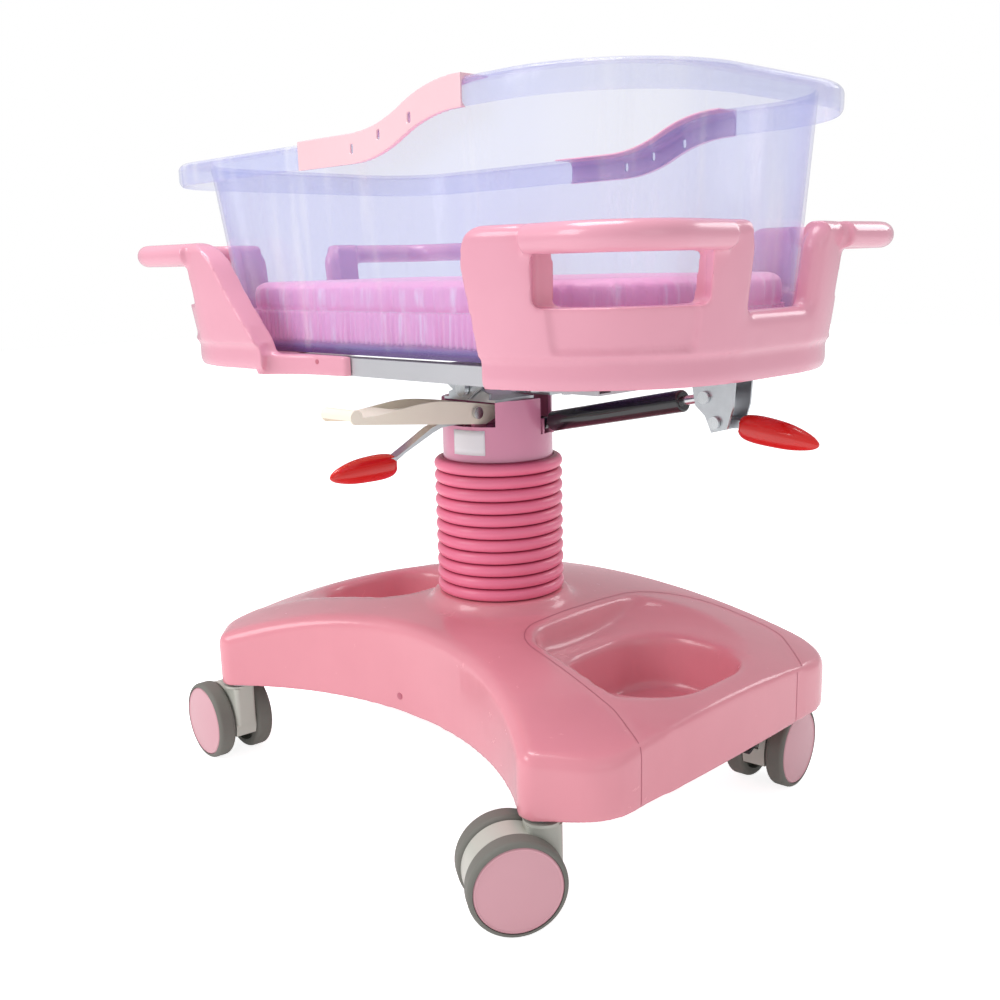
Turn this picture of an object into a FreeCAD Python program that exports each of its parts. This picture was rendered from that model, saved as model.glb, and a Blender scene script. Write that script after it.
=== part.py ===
import FreeCAD, Part
import math
import os

# Hospital bassinet on a lifting column. Millimetres, +Z up, +X towards the high (head) end of
# the tub, -Y the side of the release levers. Origin: column axis on the floor.

V = FreeCAD.Vector
X_AXIS = V(1, 0, 0)
Y_AXIS = V(0, 1, 0)
Z_AXIS = V(0, 0, 1)

# ---- driving dimensions ------------------------------------------------------------------

FIT = 0.05            # radial running clearance of a pin or shaft in its bore
SEAT = 0.3            # gap at a loose seat
OPEN_PIVOT = 2.3      # radial clearance of the gas spring's rod eye on its pin

# casters
WHEEL_R = 50.0
WHEEL_W = 23.0
RIM_R = 46.0
CAP_R = 44.5
CAP_PROUD = 1.2
AXLE_R = 5.0
HOOD_W = 28.0
HOOD_GAP = 1.0
HOOD_R = 47.0
HOOD_FLOOR = 34.0
TRAIL = 33.0
STEM_X = 272.0
STEM_Y = 221.0
STEM_R = 6.0
NECK_L = 36.0
NECK_TOP = 100.5
FLANGE_R = 19.0
FLANGE_T = 3.0
HEADINGS = {"near_head": -33.0, "near_foot": -95.0, "far_head": 6.0, "far_foot": 147.0}
BRAKED = ("near_foot", "far_head")
PEDAL_W = 26.0
PEDAL_L = 34.0
PEDAL_CORNER_R = 1.2
PEDAL_ARM_W = 12.0
PEDAL_PIN_R = 2.5
PEDAL_PIVOT = (-64.0, 66.0)

# base
BASE_Z = 104.0
BASE_WALL = 4.0
NEAR_WAIST = 148.0
FAR_SIDE = 249.0
END_X = 344.0
FOOT_TIP = (268.0, 250.0)
FOOT_TIP_R = 18.0
FOOT_SHOULDER = (336.0, 195.0)
FOOT_SHOULDER_R = 70.0
FAR_CORNER = (337.0, 246.0)
FAR_CORNER_R = 75.0
BASE_EDGE_R = 15.0
COLLAR_R = 84.0
COLLAR_Z = 238.0
THROAT = (98.0, 222.0)
PANEL_DROP = 1.6
PANEL_WALL = 3.5
PANEL_GAP = 0.6
SKIRT_X = 305.0
SKIRT_Z = 152.0
RING_FOOT = 24.0
RING_TOP = 3.0
WELL_X = 226.0
WELL_Y = 16.0
WELL_HALF_X = 82.0
WELL_HALF_Y = 98.0
WELL_R = 70.0
WELL_FLOOR = 121.0
WELL_DRAFT = 11.0
WELL_LIP = 5.0
DISH_Z = 185.0
DISH_FLAT = 85.0
DISH_R = 140.0
ARM_W = 38.0
ARM_H = 11.0
ARM_Z = 106.0
ARM_WALL = 2.0
SOCKET_R = 15.0
SOCKET_TOP = 146.0
FLOOR_FLANGE_R = 92.0

# column
OUTER_R = 52.0
OUTER_WALL = 3.0
OUTER_TOP = 386.0
BUSH_L = 34.0
INNER_R = 45.0
INNER_WALL = 3.0
INNER_BOTTOM = 124.0
BELLOWS_R = 78.5
BELLOWS_VALLEY_R = 71.3
BELLOWS_WALL = 2.0
BELLOWS_RINGS = 11
HEAD_R = 67.0
HEAD_WALL = 4.0
HEAD_Z = 400.0
HEAD_TOP = 477.0
DECK_Z = 430.0
DECK_T = 4.0
LIFT_CYL_R = 14.0
LIFT_CYL_BOTTOM = 117.0
LIFT_CYL_L = 216.0
LIFT_ROD_R = 5.0
LIFT_ROD_TOP = 444.0
MOUTH_HALF = 46.0
MOUTH_Z = 447.0
SLOT_HALF = 14.0
SLOT_Z = 434.0

# tilt pivot
PIVOT_X = 12.0
PIVOT_Z = 492.0
PIVOT_R = 5.0
EAR_Y = 54.0
EAR_T = 4.0
CHEEK_Y = 60.0
CHEEK_T = 4.0
CHEEK_X = (-26.0, 50.0)
BOSS_R = 13.0

# tray bars and the gas spring under them
BAR_HALF_L = 312.0
CROSS_X = BAR_HALF_L - 12.0
SPRING_Y = 20.0
ANCHOR = (60.0, 446.0)
ROD_PIN = (CROSS_X, 493.0)
SPRING_R = 12.0
SPRING_BORE = 8.5
SPRING_L = 192.0
SPRING_START = 14.0
ROD_R = 5.0
EYE_R = 8.0
EYE_W = 10.0
PIN_R = 4.0

# height paddle
PADDLE_HALF = 25.0
PADDLE_T = 3.0
PADDLE_PIVOT = (-60.0, 464.0)
PADDLE_TIP = -241.0

# red levers
LOCK_PIVOT = (-38.0, 453.0)
LOCK_BAR_W = 14.0
LOCK_BAR_T = 5.0
GRIP_L = 90.0
GRIP_H = 29.0
GRIP_W = 20.0
GRIP_FORM = ((0.0, 0.20, 0.0), (0.04, 0.38, 0.0), (0.15, 0.48, 0.0), (0.40, 0.50, 0.0), (0.66, 0.44, 0.02),
             (0.86, 0.30, 0.05), (0.96, 0.17, 0.07), (1.0, 0.06, 0.08))
TILT_LEVER_PIVOT = (CROSS_X + 13.0, 468.0)
TILT_GRIP_TIP = CROSS_X + 122.0
TILT_GRIP_Z = 464.5
TILT_GRIP_SLOPE = 6.0

# tray
TRAY_Z = 512.0
BAR_Y = 170.0
BAR_W = 20.0
BAR_H = 20.0
FLOOR_Z = 533.0
FLOOR_T = 3.0
BAND_Z = 548.0
RIM_Z = 666.0
END_HALF_X = 401.0
END_HALF_Y = 248.0
HEAD_END = dict(x=END_HALF_X, r=186.0, start=END_HALF_X - 209.0, bar_x=END_HALF_X - 6.0, bar_y=233.0,
                bar_r=70.0)
FOOT_END = dict(x=END_HALF_X + 17.0, r=160.0, start=END_HALF_X - 251.0, bar_x=END_HALF_X + 9.0, bar_y=240.0,
                bar_r=42.0)
HEAD_WING = ((19, 511), (19, 548), (16, 583), (12, 612), (11, 636), (17, 654), (33, 667))
FOOT_WING = ((9, 511), (9, 548), (17, 560), (34, 582), (52, 606), (66, 628), (80, 647), (98, 660),
             (124, 667))
BAND_T = 30.0
BAND_DRAFT = 14.0
BAND_STEP = 4.0
TOP_R = 11.0
POST_X = 287.0
POST_Y = 118.0
SPLAY = 20.0
SILL_Z = 593.0
HANDLE_R = 13.5
RECESS = 3.0
DIP_HALF = 53.0
DIP_Z = 584.0
ROLL_R = 12.5
ROLL_TOP_BEND = 16.0
ROLL_FOOT_BEND = 20.0
TONGUE_X = -52.0
TONGUE_ROOT = 167.0

# tub
TUB_Z = 536.3
TUB_WALL = 3.5
TUB_LOW = dict(foot=318.0, head=338.0, half=176.0, foot_r=80.0, head_r=100.0)
TUB_HIGH = dict(foot=363.0, head=353.0, half=191.0, foot_r=90.0, head_r=105.0)
TUB_HIGH_Z = 765.0
LIP = dict(foot=387.0, head=387.0, half=220.0, foot_r=88.0, head_r=150.0)
LIP_H = 29.0
LIP_WALL = 3.5
LIP_EDGE_R = 9.0
LIP_LOW_Z = 734.0
LIP_HIGH_Z = 771.0
TUB_CUT_Z = LIP_HIGH_Z + 49.0
SWEEP_X = (22.0, 182.0)
GRIP_X = (-68.0, 188.0)
GRIP_SKIN = 2.0
GRIP_SLOTS = (25.0, 68.0, 115.0)

# mattress
MATTRESS_GAP = 2.0
MATTRESS_TOP = 618.0


# ---- helpers -----------------------------------------------------------------------------

def box(x0, x1, y0, y1, z0, z1):
    return Part.makeBox(x1 - x0, y1 - y0, z1 - z0, V(x0, y0, z0))


def cyl(r, base, axis, length):
    return Part.makeCylinder(r, length, V(*base), axis)


def tube(r_out, r_in, base, axis, length):
    return cyl(r_out, base, axis, length).cut(cyl(r_in, base, axis, length))


def edge(p, q):
    return Part.LineSegment(V(*p), V(*q)).toShape()


def arc(p, m, q):
    return Part.Arc(V(*p), V(*m), V(*q)).toShape()


def spline(points):
    curve = Part.BSplineCurve()
    curve.interpolate([V(*p) for p in points])
    return curve.toShape()


def prism(edges, direction):
    return Part.Face(Part.Wire(edges)).extrude(direction)


def polygon(points):
    return [edge(p, q) for p, q in zip(points, points[1:] + points[:1])]


def revolve(edges):
    return Part.Face(Part.Wire(edges)).revolve(V(0, 0, 0), Z_AXIS, 360)


def fuse(shapes):
    return shapes[0].fuse(shapes[1:]).removeSplitter()


def save(name, shape):
    if shape.ShapeType == "Compound" and len(shape.Solids) == 1:
        shape = shape.Solids[0]
    shape.exportStep(os.path.join("parts", name + ".step"))


def mirrored_x(shape):
    return shape.mirror(V(0, 0, 0), X_AXIS)


def rounded_plan(foot, head, half, foot_r, head_r, z):
    """Closed plan, straight sides with its own corner radius at each end."""
    k = 1 - math.sqrt(0.5)
    f = -foot
    return Part.Wire([
        edge((f + foot_r, -half, z), (head - head_r, -half, z)),
        arc((head - head_r, -half, z), (head - head_r * k, -half + head_r * k, z),
            (head, -half + head_r, z)),
        edge((head, -half + head_r, z), (head, half - head_r, z)),
        arc((head, half - head_r, z), (head - head_r * k, half - head_r * k, z), (head - head_r, half, z)),
        edge((head - head_r, half, z), (f + foot_r, half, z)),
        arc((f + foot_r, half, z), (f + foot_r * k, half - foot_r * k, z), (f, half - foot_r, z)),
        edge((f, half - foot_r, z), (f, -half + foot_r, z)),
        arc((f, -half + foot_r, z), (f + foot_r * k, -half + foot_r * k, z), (f + foot_r, -half, z))])


def end_plan(half_x, half_y, r, start, z):
    """Closed D-shaped plan of one end: straight back at start, round corners at half_x."""
    k = 1 - math.sqrt(0.5)
    return Part.Wire([
        edge((start, -half_y, z), (half_x - r, -half_y, z)),
        arc((half_x - r, -half_y, z), (half_x - r * k, -half_y + r * k, z), (half_x, -half_y + r, z)),
        edge((half_x, -half_y + r, z), (half_x, half_y - r, z)),
        arc((half_x, half_y - r, z), (half_x - r * k, half_y - r * k, z), (half_x - r, half_y, z)),
        edge((half_x - r, half_y, z), (start, half_y, z)),
        edge((start, half_y, z), (start, -half_y, z))])


def grown(plan, by):
    return {key: value + by for key, value in plan.items()}


def plan_at(z):
    """Outer plan of the tub wall at height z."""
    t = (z - TUB_Z) / (TUB_HIGH_Z - TUB_Z)
    return {key: TUB_LOW[key] + t * (TUB_HIGH[key] - TUB_LOW[key]) for key in TUB_LOW}


# ---- casters -----------------------------------------------------------------------------

def place_caster(shape, name):
    """Local caster frame: stem axis at the origin, axle along X, wheels trailing to -Y."""
    sx = 1 if name.endswith("head") else -1
    sy = -1 if name.startswith("near") else 1
    shape = shape.copy()
    shape.rotate(V(0, 0, 0), Z_AXIS, HEADINGS[name])
    shape.translate(V(sx * STEM_X, sy * STEM_Y, 0))
    return shape


def caster_hood(braked):
    side = HOOD_W / 2
    disc = cyl(HOOD_R, (-side, -TRAIL, WHEEL_R), X_AXIS, HOOD_W)
    disc = disc.cut(box(-side, side, -TRAIL - HOOD_R, -TRAIL + HOOD_R, 0, HOOD_FLOOR))
    neck = box(-side, side, -NECK_L / 2, NECK_L / 2, WHEEL_R, NECK_TOP)
    upright = [e for e in neck.Edges if abs(e.BoundBox.ZLength - (NECK_TOP - WHEEL_R)) < 1e-6]
    neck = neck.makeFillet(6, upright)
    flange = cyl(FLANGE_R, (0, 0, NECK_TOP), Z_AXIS, FLANGE_T)
    body = fuse([disc, neck, flange])
    hollow = cyl(HOOD_R - 5, (-side + 4, -TRAIL, WHEEL_R), X_AXIS, HOOD_W - 8)
    hollow = hollow.common(box(-side, side, -TRAIL - HOOD_R, -STEM_R - 9, 0, WHEEL_R + HOOD_R))
    hub = cyl(AXLE_R + 6, (-side, -TRAIL, WHEEL_R), X_AXIS, HOOD_W)
    body = fuse([body.cut(hollow), hub])
    body = body.cut(cyl(AXLE_R, (-side, -TRAIL, WHEEL_R), X_AXIS, HOOD_W))
    body = body.cut(cyl(STEM_R + FIT, (0, 0, 60), Z_AXIS, NECK_TOP))
    if braked:
        py, pz = PEDAL_PIVOT
        slot = PEDAL_ARM_W / 2 + 0.5
        body = body.cut(box(-slot, slot, py - 25, py, pz - 11, pz + 20))
        body = body.cut(cyl(PEDAL_PIN_R + FIT, (-side, py, pz), X_AXIS, HOOD_W))
    return body


def caster_axle():
    half = HOOD_W / 2 + HOOD_GAP + WHEEL_W - 3
    return cyl(AXLE_R, (-half, -TRAIL, WHEEL_R), X_AXIS, 2 * half)


def caster_tyre(side):
    """One wheel: tread with a rounded shoulder on a web and hub."""
    inner = HOOD_W / 2 + HOOD_GAP
    prof = Part.Wire([
        edge((inner, RIM_R - 6, 0), (inner, WHEEL_R - 6, 0)),
        arc((inner, WHEEL_R - 6, 0), (inner + 1.8, WHEEL_R - 1.8, 0), (inner + 6, WHEEL_R, 0)),
        edge((inner + 6, WHEEL_R, 0), (inner + WHEEL_W - 5, WHEEL_R, 0)),
        arc((inner + WHEEL_W - 5, WHEEL_R, 0), (inner + WHEEL_W - 1.5, WHEEL_R - 1.5, 0),
            (inner + WHEEL_W, WHEEL_R - 5, 0)),
        edge((inner + WHEEL_W, WHEEL_R - 5, 0), (inner + WHEEL_W - 2, RIM_R - 1, 0)),
        edge((inner + WHEEL_W - 2, RIM_R - 1, 0), (inner + WHEEL_W - 7, RIM_R - 6, 0)),
        edge((inner + WHEEL_W - 7, RIM_R - 6, 0), (inner + WHEEL_W - 7, AXLE_R + 6, 0)),
        edge((inner + WHEEL_W - 7, AXLE_R + 6, 0), (inner + WHEEL_W - 2.5, AXLE_R + 6, 0)),
        edge((inner + WHEEL_W - 2.5, AXLE_R + 6, 0), (inner + WHEEL_W - 2.5, AXLE_R + FIT, 0)),
        edge((inner + WHEEL_W - 2.5, AXLE_R + FIT, 0), (inner + 1, AXLE_R + FIT, 0)),
        edge((inner + 1, AXLE_R + FIT, 0), (inner + 1, AXLE_R + 6, 0)),
        edge((inner + 1, AXLE_R + 6, 0), (inner + 10, AXLE_R + 6, 0)),
        edge((inner + 10, AXLE_R + 6, 0), (inner + 10, RIM_R - 6, 0)),
        edge((inner + 10, RIM_R - 6, 0), (inner, RIM_R - 6, 0))])
    wheel = Part.Face(prof).revolve(V(0, 0, 0), X_AXIS, 360)
    wheel.translate(V(0, -TRAIL, WHEEL_R))
    return wheel if side > 0 else wheel.mirror(V(0, 0, 0), X_AXIS)


def caster_cap(side):
    """Domed cap that closes the wheel's outer face."""
    face = HOOD_W / 2 + HOOD_GAP + WHEEL_W
    prof = Part.Wire([
        edge((face - 2.5, 0, 0), (face + CAP_PROUD, 0, 0)),
        arc((face + CAP_PROUD, 0, 0), (face + CAP_PROUD - 0.4, CAP_R / 2, 0), (face - 0.4, CAP_R - 3, 0)),
        edge((face - 0.4, CAP_R - 3, 0), (face + 0.3, CAP_R - 1.5, 0)),
        edge((face + 0.3, CAP_R - 1.5, 0), (face - 1.0, CAP_R, 0)),
        edge((face - 1.0, CAP_R, 0), (face - 2.5, CAP_R - 1.5, 0)),
        edge((face - 2.5, CAP_R - 1.5, 0), (face - 2.5, 0, 0))])
    cap = Part.Face(prof).revolve(V(0, 0, 0), X_AXIS, 360)
    cap.translate(V(0, -TRAIL, WHEEL_R))
    return cap if side > 0 else cap.mirror(V(0, 0, 0), X_AXIS)


def brake_pedal():
    """Foot pedal behind the hood: tread plate, arm and cross pin in the hood's cheeks."""
    py, pz = PEDAL_PIVOT
    y0 = -TRAIL - HOOD_R - 2.0
    x0 = -PEDAL_W / 2
    tread = prism(polygon([(x0, y0, pz + 10), (x0, y0 - PEDAL_L * 0.5, pz + 8), (x0, y0 - PEDAL_L, pz + 2),
                           (x0, y0 - PEDAL_L, pz - 2), (x0, y0 - PEDAL_L * 0.5, pz + 3),
                           (x0, y0, pz + 4)]), V(PEDAL_W, 0, 0))
    tread = tread.makeFillet(PEDAL_CORNER_R, [e for e in tread.Edges if e.BoundBox.XLength < 0.01
                                              and e.BoundBox.YMax < y0 - PEDAL_L + 0.1])
    arm = prism(polygon([(x0 + 7, py, pz - 4), (x0 + 7, py, pz + 4), (x0 + 7, y0 + 2, pz + 9),
                         (x0 + 7, y0 - 4, pz + 9), (x0 + 7, y0 - 4, pz + 4)]), V(PEDAL_ARM_W, 0, 0))
    hub = cyl(5, (-PEDAL_ARM_W / 2, py, pz), X_AXIS, PEDAL_ARM_W)
    pin = cyl(PEDAL_PIN_R, (-HOOD_W / 2, py, pz), X_AXIS, HOOD_W)
    return fuse([tread, arm, hub, pin])


# ---- base --------------------------------------------------------------------------------

def base_block(inset, z0, z1):
    """Prism of the foot outline: hollowed near side, straight far side, bowed ends."""
    tx, ty = FOOT_TIP
    sx, sy = FOOT_SHOULDER
    fx, fy = FAR_CORNER
    wire = Part.Wire([
        arc((-tx, -ty, z0), (0, -NEAR_WAIST, z0), (tx, -ty, z0)),
        edge((tx, -ty, z0), (sx, -sy, z0)),
        arc((sx, -sy, z0), (END_X, 0, z0), (fx, fy, z0)),
        arc((fx, fy, z0), (0, FAR_SIDE, z0), (-fx, fy, z0)),
        arc((-fx, fy, z0), (-END_X, 0, z0), (-sx, -sy, z0)),
        edge((-sx, -sy, z0), (-tx, -ty, z0))])
    if inset:
        wire = wire.makeOffset2D(-inset)
    block = Part.Face(wire).extrude(V(0, 0, z1 - z0))
    for x, y, r in ((tx, -ty, FOOT_TIP_R), (sx, -sy, FOOT_SHOULDER_R), (fx, fy, FAR_CORNER_R)):
        corner = [e for e in block.Edges if e.BoundBox.ZLength > z1 - z0 - 0.01
                  and math.hypot(abs(e.BoundBox.Center.x) - x, e.BoundBox.Center.y - y) < 1 + 2.5 * inset]
        block = block.makeFillet(r - inset, corner)
    return block


def bottom_wire(block):
    return min(block.Faces, key=lambda face: face.CenterOfMass.z).OuterWire


def base_dome(drop):
    """Crown of the base, turned about the column: collar, throat and long fall to the feet."""
    collar = (COLLAR_R, 0, COLLAR_Z - drop)
    throat = (THROAT[0], 0, THROAT[1] - drop)
    rim = (430, 0, 152 - drop)
    return revolve([
        edge((0, 0, 0), (0, 0, COLLAR_Z - drop)),
        edge((0, 0, COLLAR_Z - drop), collar),
        arc(collar, (COLLAR_R + 4, 0, COLLAR_Z - 11 - drop), throat),
        arc(throat, (250, 0, 203 - drop), rim),
        edge(rim, (rim[0], 0, 0)),
        edge((rim[0], 0, 0), (0, 0, 0))])


def panel_prism(inset, z0, z1):
    """Opening of one end: seam by the near foot, round corners by the column and far foot."""
    pts = [(END_X + 80, -187, z0), (285, -126, z0), (100, -88, z0), (92, 214, z0), (268, 214, z0),
           (354, 134, z0), (END_X + 80, 134, z0)]
    block = prism(polygon(pts), V(0, 0, z1 - z0))
    for x, y, r in ((285, -126, 60), (100, -88, 62), (92, 214, 90), (268, 214, 66)):
        corner = [e for e in block.Edges if e.BoundBox.ZLength > z1 - z0 - 0.01
                  and math.hypot(e.BoundBox.Center.x - x, e.BoundBox.Center.y - y) < 1]
        block = block.makeFillet(r, corner)
    if not inset:
        return block
    return Part.Face(bottom_wire(block).makeOffset2D(-inset)).extrude(V(0, 0, z1 - z0))


def panel_wire(inset, z):
    return bottom_wire(panel_prism(inset, z, z + 10))


def base_outer(inset, drop, edge_r):
    body = base_block(inset, BASE_Z, BASE_Z + COLLAR_Z).common(base_dome(drop))
    if edge_r:
        rim = [e for e in body.Edges if e.BoundBox.ZMin > BASE_Z + 20
               and e.BoundBox.XLength + e.BoundBox.YLength > 5
               and min(math.hypot(v.X, v.Y) for v in e.Vertexes) > COLLAR_R + 30]
        body = body.makeFillet(edge_r, rim)
    return body


def well_loft(grow, z0, z1):
    """Tapered storage well between two heights."""
    def section(z):
        t = (z - WELL_FLOOR) / (DISH_Z - WELL_FLOOR)
        g = grow + WELL_DRAFT * (t - 1)
        w = rounded_plan(WELL_HALF_X + g, WELL_HALF_X + g, WELL_HALF_Y + g, WELL_R + g, WELL_R + g, z)
        w.translate(V(WELL_X, WELL_Y, 0))
        return w
    return Part.makeLoft([section(z0), section(z1)], True, True)


def dish_bowl(drop):
    """Everything under the shallow bowl round the storage well."""
    r = DISH_R
    z = DISH_Z - drop
    a = math.radians(60)
    turn = [(DISH_FLAT, 0, z), (DISH_FLAT + r * math.sin(a / 2), 0, z + r * (1 - math.cos(a / 2))),
            (DISH_FLAT + r * math.sin(a), 0, z + r * (1 - math.cos(a)))]
    bowl = revolve([
        edge((0, 0, 0), (0, 0, z)),
        edge((0, 0, z), turn[0]),
        arc(*turn),
        edge(turn[2], (turn[2][0], 0, 0)),
        edge((turn[2][0], 0, 0), (0, 0, 0))])
    bowl.translate(V(WELL_X, WELL_Y, 0))
    return bowl


def panel_ring(inset, low, grow):
    """Sloping upstand round the dish: panel prism less a tapered opening."""
    block = panel_prism(inset, low, COLLAR_Z)
    taper = Part.makeLoft([panel_wire(PANEL_GAP + grow + RING_FOOT, DISH_Z - 30),
                           panel_wire(PANEL_GAP + grow + RING_TOP, COLLAR_Z + 20)], True, True)
    return block.cut(taper)


def end_panel(outer_low, outer_hollow):
    skin = panel_prism(PANEL_GAP, BASE_Z, COLLAR_Z)
    skin = skin.common(outer_low).common(dish_bowl(0).fuse(panel_ring(PANEL_GAP, BASE_Z, 0)))
    core = panel_prism(PANEL_GAP + PANEL_WALL, BASE_Z - 1, COLLAR_Z)
    ring = panel_ring(PANEL_GAP + PANEL_WALL, BASE_Z - 1, -PANEL_WALL)
    core = core.common(outer_hollow).common(dish_bowl(PANEL_WALL).fuse(ring))
    shell = skin.cut(core).cut(box(0, SKIRT_X, -300, 300, BASE_Z - 1, SKIRT_Z))
    cup = well_loft(PANEL_WALL, WELL_FLOOR - PANEL_WALL, DISH_Z - 2)
    shell = shell.fuse(cup)
    shell = shell.cut(well_loft(0, WELL_FLOOR, DISH_Z + 20))
    lip = well_loft(WELL_LIP, DISH_Z - 3, DISH_Z + 20)
    return shell.cut(lip)


def base_frame():
    """Spider of four flat tubes from the column flange to the caster sockets."""
    reach = math.hypot(STEM_X, STEM_Y)
    turn = math.degrees(math.atan2(STEM_Y, STEM_X))
    arms = []
    hollows = []
    for a in (turn, -turn, 180 - turn, 180 + turn):
        arm = box(30, reach, -ARM_W / 2, ARM_W / 2, ARM_Z, ARM_Z + ARM_H)
        arm.rotate(V(0, 0, 0), Z_AXIS, a)
        arms.append(arm)
        hollow = box(FLOOR_FLANGE_R, reach - SOCKET_R - 4, -ARM_W / 2 + ARM_WALL, ARM_W / 2 - ARM_WALL,
                     ARM_Z + ARM_WALL, ARM_Z + ARM_H - ARM_WALL)
        hollow.rotate(V(0, 0, 0), Z_AXIS, a)
        hollows.append(hollow)
    plate = cyl(FLOOR_FLANGE_R, (0, 0, ARM_Z), Z_AXIS, ARM_H)
    sockets = [cyl(SOCKET_R, (sx * STEM_X, sy * STEM_Y, ARM_Z), Z_AXIS, SOCKET_TOP - ARM_Z)
               for sx in (-1, 1) for sy in (-1, 1)]
    body = fuse([plate] + arms + sockets)
    for hollow in hollows:
        body = body.cut(hollow)
    for sx in (-1, 1):
        for sy in (-1, 1):
            body = body.cut(cyl(STEM_R, (sx * STEM_X, sy * STEM_Y, ARM_Z), Z_AXIS, 34))
    return body


def caster_stems():
    """Four stems pressed in their sockets, each with its bottom head inside the hood."""
    stems = []
    for sx in (-1, 1):
        for sy in (-1, 1):
            stems.append(cyl(STEM_R, (sx * STEM_X, sy * STEM_Y, 62), Z_AXIS, ARM_Z + 34 - 62))
    return Part.makeCompound(stems)


# ---- column ------------------------------------------------------------------------------

def bellows():
    """Ribbed rubber sleeve, one full arc for each ring."""
    pitch = (HEAD_Z - COLLAR_Z) / BELLOWS_RINGS
    edges = []
    for i in range(BELLOWS_RINGS):
        z = COLLAR_Z + i * pitch
        edges.append(arc((BELLOWS_VALLEY_R, 0, z), (BELLOWS_R, 0, z + pitch / 2),
                         (BELLOWS_VALLEY_R, 0, z + pitch)))
    inner = BELLOWS_VALLEY_R - BELLOWS_WALL
    edges.append(edge((BELLOWS_VALLEY_R, 0, HEAD_Z), (inner, 0, HEAD_Z)))
    for i in range(BELLOWS_RINGS):
        z = HEAD_Z - i * pitch
        edges.append(arc((inner, 0, z), (BELLOWS_R - BELLOWS_WALL, 0, z - pitch / 2), (inner, 0, z - pitch)))
    edges.append(edge((inner, 0, COLLAR_Z), (BELLOWS_VALLEY_R, 0, COLLAR_Z)))
    return revolve(edges)


def column_head():
    """Pink head tube: deck on the inner tube, mouth for the paddle, slot for the gas spring."""
    shell = tube(HEAD_R, HEAD_R - HEAD_WALL, (0, 0, HEAD_Z), Z_AXIS, HEAD_TOP - HEAD_Z)
    foot = tube(BELLOWS_VALLEY_R + 3, HEAD_R - HEAD_WALL, (0, 0, HEAD_Z), Z_AXIS, 3)
    deck = cyl(HEAD_R - HEAD_WALL, (0, 0, DECK_Z), Z_AXIS, DECK_T)
    body = fuse([shell, foot, deck])
    body = body.cut(box(-MOUTH_HALF, MOUTH_HALF, -HEAD_R - 5, -20, MOUTH_Z, HEAD_TOP + 1))
    body = body.cut(box(30, HEAD_R + 10, SPRING_Y - SLOT_HALF, SPRING_Y + SLOT_HALF, SLOT_Z, HEAD_TOP + 1))
    body = body.cut(cyl(LIFT_ROD_R, (0, 0, DECK_Z - 1), Z_AXIS, DECK_T + 2))
    lugs = []
    py, pz = PADDLE_PIVOT
    for s in (-1, 1):
        x0 = min(s * 18, s * 21)
        lug = prism(polygon([(x0, -58, DECK_Z + DECK_T), (x0, -40, DECK_Z + DECK_T), (x0, -40, pz - 8),
                             (x0, py + 8, pz + 4), (x0, py + 4, pz + 8), (x0, py - 4, pz + 8),
                             (x0, py - 8, pz + 4), (x0, -60, MOUTH_Z + 1), (x0, -58, MOUTH_Z - 4)]),
                    V(3, 0, 0))
        lugs.append(lug)
    ly, lz = LOCK_PIVOT
    for s in (-1, 1):
        x0 = min(s * 9, s * 12)
        lugs.append(box(x0, x0 + 3, ly - 7, ly + 7, DECK_Z + DECK_T, lz + 7))
    ax, az = ANCHOR
    for s in (-1, 1):
        y0 = min(SPRING_Y + s * 7, SPRING_Y + s * 10)
        lugs.append(box(ax - 14, ax + 6, y0, y0 + 3, DECK_Z + DECK_T, az + 6))
    body = fuse([body] + lugs)
    body = body.cut(cyl(PIN_R, (-30, py, pz), X_AXIS, 60))
    body = body.cut(cyl(PIN_R - 1, (-15, ly, lz), X_AXIS, 30))
    return body.cut(cyl(PIN_R, (ax, SPRING_Y - 12, az), Y_AXIS, 24))


def tilt_bracket():
    """Folded zinc channel on the head tube, with one ear each side of the column."""
    base = box(-30, 56, -EAR_Y - EAR_T, EAR_Y + EAR_T, HEAD_TOP, HEAD_TOP + 3)
    base = base.cut(box(16, 60, SPRING_Y - SLOT_HALF, SPRING_Y + SLOT_HALF, HEAD_TOP - 1, HEAD_TOP + 5))
    ears = []
    for s in (-1, 1):
        y0 = min(s * EAR_Y, s * (EAR_Y + EAR_T))
        ear = prism([edge((-22, y0, HEAD_TOP), (-22, y0, PIVOT_Z - 6)),
                     edge((-22, y0, PIVOT_Z - 6), (PIVOT_X - 13, y0, PIVOT_Z + 2)),
                     arc((PIVOT_X - 13, y0, PIVOT_Z + 2), (PIVOT_X, y0, PIVOT_Z + 13),
                         (PIVOT_X + 13, y0, PIVOT_Z + 2)),
                     edge((PIVOT_X + 13, y0, PIVOT_Z + 2), (46, y0, PIVOT_Z - 6)),
                     edge((46, y0, PIVOT_Z - 6), (46, y0, HEAD_TOP)),
                     edge((46, y0, HEAD_TOP), (-22, y0, HEAD_TOP))], V(0, EAR_T, 0))
        ears.append(ear)
    body = fuse([base] + ears)
    return body.cut(cyl(PIVOT_R, (PIVOT_X, -EAR_Y - 10, PIVOT_Z), Y_AXIS, 2 * EAR_Y + 20))


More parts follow.
